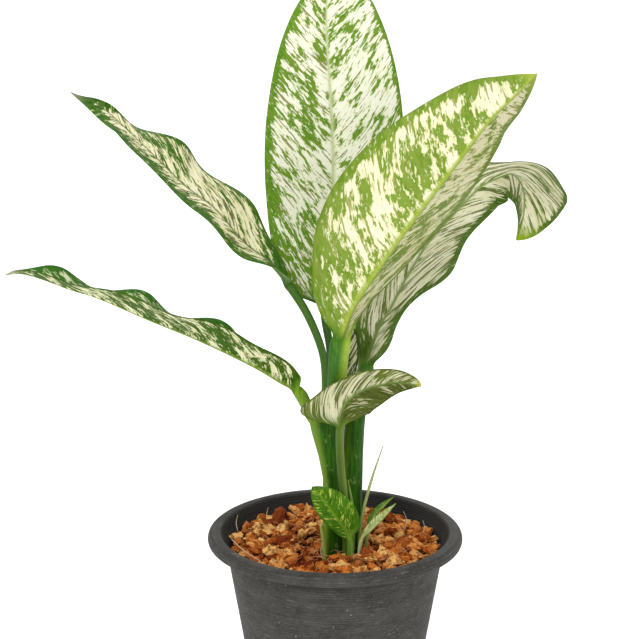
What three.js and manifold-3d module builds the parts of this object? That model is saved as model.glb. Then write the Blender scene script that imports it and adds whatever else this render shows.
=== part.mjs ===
// Potted dieffenbachia with variegated leaves, in millimetres, +Z up.
// The origin is the centre of the pot's base, on the surface that the pot stands on.
import * as THREE from 'three';
import { mergeVertices } from 'three/addons/utils/BufferGeometryUtils.js';
import Module from 'manifold-3d';

const wasm = await Module();
wasm.setup();

// Fits and thicknesses
const CLEARANCE = 0.3;
const BLADE_HALF_THICKNESS = 0.45;
const RIB_DEPTH = 0.9;

// Pot
const POT_SIDES = 40;
const POT_HEIGHT = 130;
const POT_BASE_RADIUS = 48;
const POT_WALL = 1.7;
const POT_FLOOR = 3;
const POT_SHOULDER_RADIUS = 68;
const POT_SHOULDER_Z = 118;
const RIM_OUTER_RADIUS = 80;
const RIM_INNER_RADIUS = 70.5;
const RIM_LIP = 6;
const DRAIN_HOLES = 6;
const DRAIN_RADIUS = 4.5;
const DRAIN_CIRCLE = 29;

// Growing medium and its husk chips
const MEDIUM_TOP = 118.5;
const MEDIUM_HOLLOW = 5;
const HOLLOW_RADIUS = 34;
const MEDIUM_GAP = 0.5;
const CHIP_COUNT = 88;
const CHIP_SIZE = [15, 12, 8];
const CHIP_SEED = 41;
const CHIP_FIELD_RADIUS = 62;

// Sections of each stalk: centre x, y, z, then half-widths along X and Y
const STALK_LEFT = [
  [-1.7, -2, 96, 5.9, 5.5],
  [-1.7, -1.5, 125, 6.2, 5.8],
  [-1.7, -0.5, 150, 6.3, 6.2],
  [-1.7, 0.5, 164, 6.4, 7.5],
  [-3.3, 1.5, 178, 7.6, 9.4],
  [-5.2, 2.5, 192, 9.8, 12],
  [-6.3, 3.5, 208, 12, 14.5],
];
const STALK_RIGHT = [
  [10.4, 6, 98, 6.7, 5.2],
  [10.4, 6, 125, 7, 5.4],
  [10.4, 7, 150, 6.9, 5.6],
  [10.8, 9, 176, 7, 7.6],
  [11.9, 11, 192, 6.6, 8.6],
  [13.2, 13.5, 212, 7, 9],
];
const STALK_SIDES = 18;

// Leaves. path: points from the petiole's foot to the tip, with the blade starting at point number base.
// radius: petiole at its foot and at the blade, then midrib at the blade's start and at the tip.
// flat: how much wider than deep the petiole is.
// The pairs give the side left of the midrib, then the side right of it, looking at the upper face
// with the tip up. width: widest half. shape: where it is widest, and how blunt the base and the tip are.
// face: where the upper face looks, along the blade. fold: how far each half is folded up, in degrees.
// wave: height at each edge, count and the two phases. trim: share of the width that is kept.
const LEAVES = [
  {
    name: 'leaf_back_tall',
    stalk: 'stalk_left',
    path: [
      [-3.5, 12, 196], [-2, 18, 214], [-3.2, 28, 239], [-6.8, 37, 264], [-4.5, 48, 298], [-1, 56, 338],
      [-2, 60, 383], [-5, 63, 428], [-5, 63, 453], [-3, 61, 473],
    ],
    base: 3,
    radius: [2.2, 2.6, 1.8, 0.5],
    width: [44, 45],
    shape: [[0.42, 0.36, 0.82], [0.5, 0.42, 0.4]],
    face: [[0.05, -1, 0.1], [0, -1, 0.1], [-0.1, -1, 0.1]],
    fold: [[25, 25], [12, 12], [10, 10], [8, 8]],
    wave: [1.2, 1.2, 3, 0, 2],
  },
  {
    name: 'leaf_front_right',
    stalk: 'stalk_left',
    path: [
      [0, -3.5, 196], [0.4, -6, 214], [1.4, -9.5, 238], [3.4, -13.5, 256], [10, -19, 276], [21, -25, 296],
      [37, -33, 322], [54, -38, 347], [71, -38, 370], [88, -34, 392], [103, -28, 406], [116, -22, 418],
    ],
    base: 3,
    radius: [3.2, 4.3, 2.4, 0.5],
    flat: 1.5,
    width: [52, 50],
    shape: [[0.4, 0.5, 0.72], [0.42, 0.6, 0.95]],
    face: [[0.1, 1, 0], [0.1, 1, 0], [0.1, 1, 0.1]],
    fold: [[74, 25], [70, 10], [66, 5], [62, 5], [50, 5]],
    wave: [1, 1.5, 2.5, 1, 2],
  },
  {
    name: 'leaf_right_drooping',
    stalk: 'stalk_right',
    path: [
      [14, 10, 200], [16, 14, 212], [19, 20, 229], [22, 24, 238], [27, 30, 251], [36, 38, 265],
      [46, 44, 283], [60, 50, 304], [74, 54, 319], [91, 55, 337], [102, 51, 344], [109, 43, 348],
      [113, 33, 346], [115, 24, 341], [115, 17, 332], [113, 12, 322], [110, 9, 313],
    ],
    base: 2,
    radius: [2.4, 3.5, 2, 0.5],
    flat: 2,
    width: [42, 36],
    shape: [[0.55, 0.36, 0.65], [0.48, 0.7, 0.5]],
    face: [
      [-0.45, -0.37, 0.73], [-0.45, -0.37, 0.73], [-0.45, -0.37, 0.73], [-0.45, -0.4, 0.75],
      [-0.2, -0.4, 0.9], [0.1, -0.7, 0.7], [0, -0.85, 0.5],
    ],
    fold: [
      [30, 25], [18, 15], [5, 5], [2, 5], [0, 5], [0, 3], [0, 0], [3, -18], [-5, -35], [-31, -52], [-30, -70],
      [-12, -75], [0, -80],
    ],
    wave: [2.5, 0.8, 4, 0, 0],
    trim: [
      [1, 2.4], [1, 1.2], [1, 0.42], [1, 0.6], [1, 1.24], [1, 0.94], [1, 0.68], [0.95, 0.58], [0.62, 0.5],
      [0.86, 0.5], [1.26, 0.5], [0.96, 0.5], [0.92, 0.5],
    ],
  },
  {
    name: 'leaf_left_upper',
    stalk: 'stalk_left',
    path: [
      [-8, 6, 196], [-6.3, 7.5, 214], [-7.5, 9, 240], [-16.5, 9, 265], [-28.5, 8, 285], [-39, 6, 299],
      [-55, 5, 312], [-73, 2, 334], [-91, -1, 349], [-114, -8, 374], [-138, -16, 398.5], [-154, -20, 407],
    ],
    base: 4,
    radius: [2.2, 2.6, 1.8, 0.4],
    width: [32, 38],
    shape: [[0.52, 0.55, 0.85], [0.4, 0.8, 1.9]],
    face: [
      [0.66, -0.17, 0.74], [0.66, -0.17, 0.74], [0.66, -0.17, 0.74], [0.66, -0.17, 0.74],
      [0.66, -0.17, 0.74], [0.66, -0.17, 0.74], [0.45, -0.6, 0.5],
    ],
    fold: [[30, 30], [2, 10], [3, 8], [5, 8], [8, 8]],
    wave: [0.2, 4.2, 3.2, 0, 2.6],
    trim: [
      [1.7, 0.6], [1.4, 0.8], [1.2, 1], [1, 1], [0.88, 1], [0.78, 1], [0.78, 1], [0.92, 1.05], [1.2, 0.9],
      [1.1, 0.5], [0.6, 0.5],
    ],
  },
  {
    name: 'leaf_left_lower',
    stalk: 'stalk_left',
    path: [
      [-12.5, -1.5, 196], [-16, -3, 207], [-22.5, -5, 221], [-34, -8, 229.5], [-52, -12, 241.5], [-82, -18, 258],
      [-111, -24, 272], [-140, -28, 286], [-157, -30, 292], [-174, -32, 299],
      [-186, -32, 302], [-195, -32, 301],
    ],
    base: 2,
    radius: [2.8, 4, 2.2, 0.4],
    width: [31, 36],
    shape: [[0.4, 0.4, 0.8], [0.45, 0.6, 0.9]],
    face: [[0.4, 0, 1], [0.4, 0, 1], [0.4, 0, 1]],
    fold: [[56, 0], [42, 8], [32, 6], [28, 2], [25, 16]],
    wave: [1.5, 4.6, 3.5, 0, 1.7],
    trim: [
      [0.7, 1], [0.8, 1], [0.86, 1], [0.9, 1], [1, 0.95], [1, 0.86], [1, 0.86], [1, 0.95], [1, 1], [1, 1], [1, 1],
    ],
  },
  {
    name: 'leaf_front_small',
    path: [
      [7, -8, 100], [7, -9, 124], [5.5, -13, 154], [3.5, -17, 175], [2.6, -22, 192], [2.6, -23, 203],
      [2.8, -23.2, 211], [6.5, -22.8, 219.5], [14, -21, 225.5], [23, -19, 228.5], [37, -17, 230.5], [52, -16, 228],
    ],
    base: 5,
    radius: [2.4, 2.5, 1.6, 0.4],
    width: [14.5, 27],
    shape: [[0.3, 0.6, 1.1], [0.12, 1.5, 0.5]],
    face: [[0.1, 1, 0], [0.1, 1, 0.1], [0.1, 1, -0.1], [0.1, 1, -0.3]],
    fold: [[10, 3], [10, 3], [10, 6], [10, 12], [10, 20]],
    wave: [0, 0, 1, 0, 0],
    trim: [
      [1, 1], [1, 1.02], [0.95, 0.74], [0.95, 0.6], [1.05, 0.49], [1.15, 0.46], [1.15, 0.45], [1.08, 0.45],
      [1, 0.44], [1, 0.44], [1, 0.44], [1, 0.46], [1, 0.5],
    ],
  },
  {
    name: 'leaf_back_hidden',
    stalk: 'stalk_right',
    path: [
      [9.8, 16, 200], [9.2, 17.5, 208], [7.8, 19, 219], [6.3, 20.5, 230], [5, 22, 241], [3.5, 24, 251], [2, 25, 259],
    ],
    base: 2,
    radius: [1.8, 2, 1.4, 0.4],
    width: [7, 11.5],
    shape: [[0.5, 0.6, 0.8], [0.7, 0.6, 0.8]],
    face: [[0, -1, 0.3], [0, -1, 0.3]],
    fold: [[35, 35], [25, 25]],
    wave: [0, 0, 1, 0, 0],
  },
  {
    name: 'leaf_offset',
    path: [
      [9.5, -15.5, 106], [9.5, -15.5, 116], [9, -16, 128], [5, -18.5, 138], [-1, -21, 148],
      [-7.5, -23.5, 158], [-14, -26, 167],
    ],
    base: 2,
    radius: [2, 2.2, 1.3, 0.4],
    width: [8.5, 13],
    shape: [[0.6, 0.7, 0.6], [0.42, 0.6, 0.8]],
    face: [[0.2, -1, 0.3], [0.2, -1, 0.3]],
    fold: [[25, 25], [8, 8], [8, 8]],
    wave: [0.6, 0.8, 2.5, 0, 1],
  },
  {
    name: 'leaf_narrow_upper',
    path: [[19, -4, 108], [20, -4.5, 128], [23, -5, 139], [28, -6, 146], [36, -8, 154]],
    base: 1,
    radius: [1, 1.1, 0.8, 0.4],
    width: [2.4, 2.4],
    shape: [[0.5, 0.8, 1], [0.5, 0.8, 1]],
    face: [[-0.5, -0.7, 0.5], [-0.5, -0.7, 0.5]],
    fold: [[20, 20], [20, 20]],
    wave: [0, 0, 1, 0, 0],
  },
  {
    name: 'leaf_narrow_lower',
    path: [[14, -12, 106], [16, -13.5, 127], [22, -16, 137], [30, -18, 146], [37, -20, 154]],
    base: 1,
    radius: [1, 1.2, 0.8, 0.4],
    width: [3, 3],
    shape: [[0.45, 0.8, 1], [0.45, 0.8, 1]],
    face: [[-0.5, -0.7, 0.5], [-0.5, -0.7, 0.5]],
    fold: [[20, 20], [20, 20]],
    wave: [0, 0, 1, 0, 0],
  },
];
const BLADE_STEPS = 18;
const SMALL_BLADE_STEPS = 9;
const PETIOLE_STEP = 12;
const BLEND_LENGTH = 7;
const HOLE_REACH = 45;

// Rolled young shoots: path, then radius at the foot and at the tip
const SHOOTS = [
  { name: 'spear_tall', path: [[15, -4, 108], [16, -3, 134], [22, 0, 160], [30, 4, 184]], radius: [1.3, 0.4] },
  { name: 'spear_short', path: [[10.5, -3, 106], [11, -4, 141], [8, -8, 165]], radius: [1.8, 0.4] },
  { name: 'stub_left', path: [[-6, -11, 108], [-7.5, -12.5, 127], [-9, -14, 138]], radius: [1.5, 0.9] },
];
const SHOOT_SIDES = 8;
const SHOOT_STEPS = 6;

const COLOURS = {
  pot: { color: 0x4c4d48, roughness: 0.75 },
  medium: { color: 0xa85f2a, roughness: 0.95 },
  stalk: { color: 0x2f6b1e, roughness: 0.45 },
  leaf: { color: 0xb9cf8a, roughness: 0.4 },
  young: { color: 0x86a83c, roughness: 0.45 },
};

function vector(p) {
  return new THREE.Vector3(p[0], p[1], p[2]);
}

function smooth(x) {
  const c = THREE.MathUtils.clamp(x, 0, 1);
  return c * c * (3 - 2 * c);
}

// Value at share t of a list of evenly spaced keys
function along(keys, t) {
  const x = THREE.MathUtils.clamp(t, 0, 1) * (keys.length - 1);
  const i = Math.min(Math.floor(x), keys.length - 2);
  return THREE.MathUtils.lerp(keys[i], keys[i + 1], x - i);
}

function faceAlong(keys, t) {
  return new THREE.Vector3(
    along(keys.map((k) => k[0]), t),
    along(keys.map((k) => k[1]), t),
    along(keys.map((k) => k[2]), t),
  );
}

// A closed solid through rings of points that all have the same count, counter-clockwise seen from the end
function ringSolid(rings, flipped = () => false) {
  const count = rings[0].length;
  const positions = [];
  const index = [];
  rings.forEach((ring) => ring.forEach((p) => positions.push(p.x, p.y, p.z)));
  for (let i = 0; i < rings.length - 1; i += 1) {
    for (let j = 0; j < count; j += 1) {
      const a = i * count + j;
      const b = i * count + ((j + 1) % count);
      const c = a + count;
      const d = b + count;
      if (flipped(j)) {
        index.push(a, b, c, b, d, c);
      } else {
        index.push(a, b, d, a, d, c);
      }
    }
  }
  [0, rings.length - 1].forEach((i) => {
    const centre = new THREE.Vector3();
    rings[i].forEach((p) => centre.add(p));
    centre.divideScalar(count);
    positions.push(centre.x, centre.y, centre.z);
    const middle = positions.length / 3 - 1;
    for (let j = 0; j < count; j += 1) {
      const a = i * count + j;
      const b = i * count + ((j + 1) % count);
      index.push(...(i === 0 ? [middle, b, a] : [middle, a, b]));
    }
  });
  const geometry = new THREE.BufferGeometry();
  geometry.setAttribute('position', new THREE.Float32BufferAttribute(positions, 3));
  geometry.setIndex(index);
  return geometry;
}

function ellipseRing(centre, axisA, axisB, radiusA, radiusB, sides) {
  return Array.from({ length: sides }, (_, j) => {
    const angle = (2 * Math.PI * j) / sides;
    return centre.clone()
      .addScaledVector(axisA, radiusA * Math.cos(angle))
      .addScaledVector(axisB, radiusB * Math.sin(angle));
  });
}

// A round tube along a path, its ends moved out by the same amount as its side
function tubeSolid(points, radii, sides, steps, grow = 0) {
  const curve = new THREE.CatmullRomCurve3(points.map(vector), false, 'catmullrom', 0.5);
  const reach = grow / Math.cos(Math.PI / sides);
  const rings = [];
  for (let i = 0; i <= steps; i += 1) {
    const u = i / steps;
    const centre = curve.getPointAt(u);
    const tangent = curve.getTangentAt(u);
    const axisA = new THREE.Vector3(0, 1, 0).cross(tangent).normalize();
    const axisB = tangent.clone().cross(axisA);
    const end = (i === steps ? grow : 0) - (i === 0 ? grow : 0);
    const radius = THREE.MathUtils.lerp(radii[0], radii[1], u) + reach;
    rings.push(ellipseRing(centre.addScaledVector(tangent, end), axisA, axisB, radius, radius, sides));
  }
  return ringSolid(rings);
}

function stalkSolid(sections, grow = 0) {
  const axisA = new THREE.Vector3(1, 0, 0);
  const axisB = new THREE.Vector3(0, 1, 0);
  const reach = grow / Math.cos(Math.PI / STALK_SIDES);
  const rings = sections.map(([x, y, z, rx, ry], i) => {
    const centre = new THREE.Vector3(x, y, i === 0 ? z - grow : z);
    return ellipseRing(centre, axisA, axisB, rx + reach, ry + reach, STALK_SIDES);
  });
  return ringSolid(rings);
}

// Half-width as a share of the widest, at share t of the blade
function outline(t, [widest, baseBluntness, tipBluntness]) {
  const u = t < widest ? (widest - t) / widest : (t - widest) / (1 - widest);
  return Math.max(0, 1 - u * u) ** (t < widest ? baseBluntness : tipBluntness);
}

function leafCurve(leaf) {
  const curve = new THREE.CatmullRomCurve3(leaf.path.map(vector), false, 'catmullrom', 0.5);
  const perSpan = 40;
  curve.arcLengthDivisions = perSpan * (leaf.path.length - 1);
  const lengths = curve.getLengths();
  return { curve, total: lengths[lengths.length - 1], petiole: lengths[leaf.base * perSpan] };
}

// Where across the blade the section's points lie: edge, middle of the half, rib, and the midrib itself
const ACROSS = [-1, -0.55, -0.08, 0, 0.08, 0.55, 1];

// Ring of points round the leaf at distance d along it, with its petiole grown by the given amount
function leafRing(leaf, { curve, total, petiole }, d, grow = 0) {
  const u = THREE.MathUtils.clamp(d / total, 0, 1);
  const t = THREE.MathUtils.clamp((d - petiole) / (total - petiole), 0, 1);
  const centre = curve.getPointAt(u);
  const tangent = curve.getTangentAt(u);
  const normal = faceAlong(leaf.face, t);
  normal.addScaledVector(tangent, -normal.dot(tangent)).normalize();
  const side = tangent.clone().cross(normal);
  const rib = along([leaf.radius[2], leaf.radius[3]], t);
  const bare = d < petiole ? THREE.MathUtils.lerp(leaf.radius[0], leaf.radius[1], d / petiole) : rib * 1.6;
  const reach = grow / Math.cos(Math.PI / (2 * ACROSS.length));
  const stem = bare + reach;
  const stemAside = bare * (leaf.flat ?? 1) + reach;
  const blend = smooth((d - petiole) / BLEND_LENGTH);
  const point = (s, face) => {
    const k = s < 0 ? 0 : 1;
    const sign = s < 0 ? -1 : 1;
    const trim = leaf.trim ? along(leaf.trim.map((pair) => pair[k]), t) : 1;
    const width = Math.max(outline(t, leaf.shape[k]) * leaf.width[k] * trim, rib * 1.2);
    const angle = THREE.MathUtils.degToRad(along(leaf.fold.map((pair) => pair[k]), t));
    const out = width * Math.abs(s);
    const swing = Math.sin(2 * Math.PI * leaf.wave[2] * t + leaf.wave[3 + k]) * Math.sqrt(Math.sin(Math.PI * t));
    const lift = leaf.wave[k] * s * s * swing;
    const blade = centre.clone()
      .addScaledVector(side, sign * out * Math.cos(angle))
      .addScaledVector(normal, out * Math.sin(angle) + lift);
    const outward = normal.clone().multiplyScalar(s === 0 ? 1 : Math.cos(angle));
    outward.addScaledVector(side, s === 0 ? 0 : -sign * Math.sin(angle));
    const depth = BLADE_HALF_THICKNESS + (s === 0 && face < 0 ? RIB_DEPTH * (1 - t) : 0);
    blade.addScaledVector(outward, face * depth);
    const turn = ((1 - s * 0.97) * Math.PI) / 2;
    const round = centre.clone()
      .addScaledVector(side, stemAside * Math.cos(turn))
      .addScaledVector(normal, face * stem * Math.sin(turn));
    return round.lerp(blade, blend);
  };
  return [...ACROSS.map((s) => point(s, 1)), ...ACROSS.slice().reverse().map((s) => point(s, -1))];
}

function petioleDistances(petiole) {
  const steps = Math.max(2, Math.round(petiole / PETIOLE_STEP));
  return Array.from({ length: steps }, (_, i) => (petiole * i) / steps);
}

function leafSolid(leaf) {
  const measured = leafCurve(leaf);
  const { total, petiole } = measured;
  const bladeSteps = total - petiole > 70 ? BLADE_STEPS : SMALL_BLADE_STEPS;
  const distances = petioleDistances(petiole);
  for (let i = 0; i <= bladeSteps; i += 1) {
    const share = i / bladeSteps;
    const eased = 0.5 * share + 0.25 * (1 - Math.cos(Math.PI * share));
    distances.push(petiole + (total - petiole) * eased);
  }
  const rings = distances.map((d) => leafRing(leaf, measured, d));
  return ringSolid(rings, (j) => j < ACROSS.length);
}

// The lower part of a petiole, grown by the clearance, which cuts the hole that it stands in
function petioleCutter(leaf, reach) {
  const measured = leafCurve(leaf);
  const distances = [...petioleDistances(measured.petiole), measured.petiole].filter((d) => d <= reach);
  const rings = distances.map((d) => leafRing(leaf, measured, d, CLEARANCE));
  const down = measured.curve.getTangentAt(0).multiplyScalar(-CLEARANCE);
  rings[0].forEach((p) => p.add(down));
  return ringSolid(rings);
}

function toManifold(geometry) {
  const clean = geometry.clone();
  clean.deleteAttribute('normal');
  clean.deleteAttribute('uv');
  const merged = mergeVertices(clean, 1e-4);
  return new wasm.Manifold(new wasm.Mesh({
    numProp: 3,
    vertProperties: new Float32Array(merged.attributes.position.array),
    triVerts: new Uint32Array(merged.index.array),
  }));
}

function toGeometry(solid) {
  const mesh = solid.getMesh();
  const geometry = new THREE.BufferGeometry();
  geometry.setAttribute('position', new THREE.BufferAttribute(new Float32Array(mesh.vertProperties), 3));
  geometry.setIndex(new THREE.BufferAttribute(new Uint32Array(mesh.triVerts), 1));
  return geometry;
}

function lathe(profile) {
  const geometry = new THREE.LatheGeometry(profile.map(([r, z]) => new THREE.Vector2(r, z)), POT_SIDES);
  return geometry.rotateX(Math.PI / 2);
}

function mulberry(seed) {
  let state = seed;
  return () => {
    state = (state + 0x6d2b79f5) | 0;
    let t = Math.imul(state ^ (state >>> 15), 1 | state);
    t = (t + Math.imul(t ^ (t >>> 7), 61 | t)) ^ t;
    return ((t ^ (t >>> 14)) >>> 0) / 4294967296;
  };
}

function wallRadius(z) {
  return THREE.MathUtils.mapLinear(z, 0, POT_SHOULDER_Z, POT_BASE_RADIUS, POT_SHOULDER_RADIUS);
}

// Profile of the pot's inside from the rim to the middle of its floor, drawn in by the given gap
function potInside(gap) {
  return [
    [RIM_INNER_RADIUS - gap, POT_HEIGHT - 3],
    [RIM_INNER_RADIUS - 1.2 - gap, POT_SHOULDER_Z + 4],
    [POT_SHOULDER_RADIUS - POT_WALL - gap, POT_SHOULDER_Z - 1],
    [wallRadius(POT_FLOOR) - POT_WALL - gap, POT_FLOOR + gap],
    [0, POT_FLOOR + gap],
  ];
}

function potSolid() {
  const lipFoot = POT_HEIGHT - RIM_LIP;
  const profile = [
    [0, 0],
    [POT_BASE_RADIUS - 2, 0],
    [POT_BASE_RADIUS + 0.3, 2],
    [wallRadius(60), 60],
    [POT_SHOULDER_RADIUS, POT_SHOULDER_Z],
    [POT_SHOULDER_RADIUS + 2, POT_SHOULDER_Z + 3],
    [RIM_OUTER_RADIUS - 3, lipFoot - 2],
    [RIM_OUTER_RADIUS - 0.6, lipFoot - 0.8],
    [RIM_OUTER_RADIUS, lipFoot + 1.5],
    [RIM_OUTER_RADIUS - 0.8, POT_HEIGHT - 2],
    [RIM_OUTER_RADIUS - 3.2, POT_HEIGHT - 0.4],
    [RIM_INNER_RADIUS + 3, POT_HEIGHT],
    [RIM_INNER_RADIUS + 0.6, POT_HEIGHT - 1],
    ...potInside(0),
  ];
  let pot = toManifold(lathe(profile));
  for (let i = 0; i < DRAIN_HOLES; i += 1) {
    const angle = (2 * Math.PI * (i + 0.5)) / DRAIN_HOLES;
    const drill = new THREE.CylinderGeometry(DRAIN_RADIUS, DRAIN_RADIUS, 4 * POT_FLOOR, 12);
    drill.rotateX(Math.PI / 2);
    drill.translate(DRAIN_CIRCLE * Math.cos(angle), DRAIN_CIRCLE * Math.sin(angle), 0);
    pot = pot.subtract(toManifold(drill));
  }
  return toGeometry(pot);
}

// Height of the medium under its chips: a shallow hollow round the stalks
function mediumHeight(radius) {
  return MEDIUM_TOP - MEDIUM_HOLLOW * (1 - smooth(radius / HOLLOW_RADIUS));
}

function chipSolid(random, x, y) {
  const size = CHIP_SIZE.map((edge) => edge * (0.75 + 0.5 * random()));
  const box = new THREE.BoxGeometry(size[0], size[1], size[2]);
  box.deleteAttribute('normal');
  box.deleteAttribute('uv');
  const chip = mergeVertices(box);
  const position = chip.attributes.position;
  for (let i = 0; i < position.count; i += 1) {
    position.setXYZ(
      i,
      position.getX(i) * (0.7 + 0.35 * random()),
      position.getY(i) * (0.7 + 0.35 * random()),
      position.getZ(i) * (0.75 + 0.3 * random()),
    );
  }
  chip.rotateX((random() - 0.5) * 1.1);
  chip.rotateY((random() - 0.5) * 1.1);
  chip.rotateZ(2 * Math.PI * random());
  chip.translate(x, y, mediumHeight(Math.hypot(x, y)) + (random() - 0.35) * 3);
  return chip;
}

function mediumSolid(cutters) {
  const inside = potInside(MEDIUM_GAP).reverse();
  const top = [60, 46, 30, 15, 0].map((r) => [r, mediumHeight(r)]);
  let medium = toManifold(lathe([...inside.slice(0, 3), ...top]));
  const random = mulberry(CHIP_SEED);
  const golden = Math.PI * (3 - Math.sqrt(5));
  for (let i = 0; i < CHIP_COUNT; i += 1) {
    const radius = CHIP_FIELD_RADIUS * Math.sqrt((i + 0.5) / CHIP_COUNT);
    const angle = i * golden + (random() - 0.5) * 0.2;
    const chip = chipSolid(random, radius * Math.cos(angle), radius * Math.sin(angle));
    medium = medium.add(toManifold(chip));
  }
  medium = medium.intersect(toManifold(lathe([...inside, [0, POT_HEIGHT - 3]])));
  cutters.forEach((cutter) => {
    medium = medium.subtract(toManifold(cutter));
  });
  const pieces = medium.decompose().sort((p, q) => q.numTri() - p.numTri());
  return toGeometry(pieces[0]);
}

function stalkWithSockets(sections, name) {
  let stalk = toManifold(stalkSolid(sections));
  LEAVES.filter((leaf) => leaf.stalk === name).forEach((leaf) => {
    stalk = stalk.subtract(toManifold(petioleCutter(leaf, HOLE_REACH)));
  });
  return toGeometry(stalk);
}

const group = new THREE.Group();

function addPiece(name, geometry, colour) {
  geometry.computeVertexNormals();
  const material = new THREE.MeshStandardMaterial({ ...COLOURS[colour], metalness: 0 });
  const mesh = new THREE.Mesh(geometry, material);
  mesh.name = name;
  group.add(mesh);
}

const rooted = LEAVES.filter((leaf) => !leaf.stalk);
const mediumCutters = [
  stalkSolid(STALK_LEFT, CLEARANCE),
  stalkSolid(STALK_RIGHT, CLEARANCE),
  ...rooted.map((leaf) => petioleCutter(leaf, HOLE_REACH)),
  ...SHOOTS.map((shoot) => tubeSolid(shoot.path, shoot.radius, SHOOT_SIDES, SHOOT_STEPS, CLEARANCE)),
];

addPiece('pot', potSolid(), 'pot');
addPiece('growing_medium', mediumSolid(mediumCutters), 'medium');
addPiece('stalk_left', stalkWithSockets(STALK_LEFT, 'stalk_left'), 'stalk');
addPiece('stalk_right', stalkWithSockets(STALK_RIGHT, 'stalk_right'), 'stalk');
LEAVES.forEach((leaf) => addPiece(leaf.name, leafSolid(leaf), leaf.width[1] > 14 ? 'leaf' : 'young'));
SHOOTS.forEach((shoot) => {
  addPiece(shoot.name, tubeSolid(shoot.path, shoot.radius, SHOOT_SIDES, SHOOT_STEPS), 'young');
});

export default group;
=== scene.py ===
"""Looks of a potted dieffenbachia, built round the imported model: leaves, stalks, husk chips and pot."""
import math
import random

import bmesh
import bpy
import numpy as np
from mathutils import Matrix, Vector, noise


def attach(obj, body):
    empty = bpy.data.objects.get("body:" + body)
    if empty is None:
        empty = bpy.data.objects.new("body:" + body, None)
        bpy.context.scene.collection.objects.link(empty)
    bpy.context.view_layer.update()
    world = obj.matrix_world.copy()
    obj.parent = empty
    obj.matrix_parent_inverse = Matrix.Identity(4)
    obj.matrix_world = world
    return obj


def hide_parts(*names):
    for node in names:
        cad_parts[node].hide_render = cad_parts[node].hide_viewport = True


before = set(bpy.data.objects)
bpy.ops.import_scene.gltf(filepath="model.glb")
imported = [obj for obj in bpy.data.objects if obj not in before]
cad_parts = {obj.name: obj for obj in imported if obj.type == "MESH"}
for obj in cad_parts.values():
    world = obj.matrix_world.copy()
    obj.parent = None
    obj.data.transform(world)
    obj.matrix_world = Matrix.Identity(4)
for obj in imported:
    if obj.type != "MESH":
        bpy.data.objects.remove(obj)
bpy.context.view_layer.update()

MM = 0.001

# Camera at the photograph's viewing angle
PHOTO_WIDTH_PX = 640
FOCAL_LENGTH_PX = 1901
SENSOR_WIDTH = 36.0
CAMERA_PLACE = (-0.00945, -1.1225, 0.5542)
CAMERA_PITCH = math.radians(90 - 14.42)


def add_object(name, data):
    thing = bpy.data.objects.new(name, data)
    bpy.context.collection.objects.link(thing)
    return thing


camera_data = bpy.data.cameras.new("camera")
camera_data.sensor_width = SENSOR_WIDTH
camera_data.lens = SENSOR_WIDTH * FOCAL_LENGTH_PX / PHOTO_WIDTH_PX
camera = add_object("camera", camera_data)
camera.location = CAMERA_PLACE
camera.rotation_euler = (CAMERA_PITCH, 0, 0)
bpy.context.scene.camera = camera
bpy.context.scene.view_settings.view_transform = "Standard"


def area_light(name, place, target, size, power):
    data = bpy.data.lights.new(name, "AREA")
    data.shape = "DISK"
    data.size = size
    data.energy = power
    light = add_object(name, data)
    light.location = place
    light.rotation_euler = (Vector(target) - Vector(place)).to_track_quat("-Z", "Y").to_euler()


area_light("key", (-1.1, -1.9, 2.0), (0, 0, 0.25), 1.4, 28)
area_light("fill", (1.8, -1.2, 1.2), (0, 0, 0.25), 1.8, 2)
area_light("back", (0.3, 1.9, 1.9), (0, 0, 0.3), 1.6, 8)
world = bpy.data.worlds.new("studio")
world.use_nodes = True
background = world.node_tree.nodes["Background"]
background.inputs["Color"].default_value = (1, 1, 1, 1)
background.inputs["Strength"].default_value = 1
bpy.context.scene.world = world

# How much brighter than its own colour a surface looks in this light
STUDIO_LEVEL = 1.2


def linear(red, green, blue):
    """A colour as it looks in the studio light, 0 to 255, turned into the surface's own linear values."""
    steps = [c / 255 for c in (red, green, blue)]
    curve = [c / 12.92 if c <= 0.04045 else ((c + 0.055) / 1.055) ** 2.4 for c in steps]
    return tuple(c / STUDIO_LEVEL for c in curve) + (1,)


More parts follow.
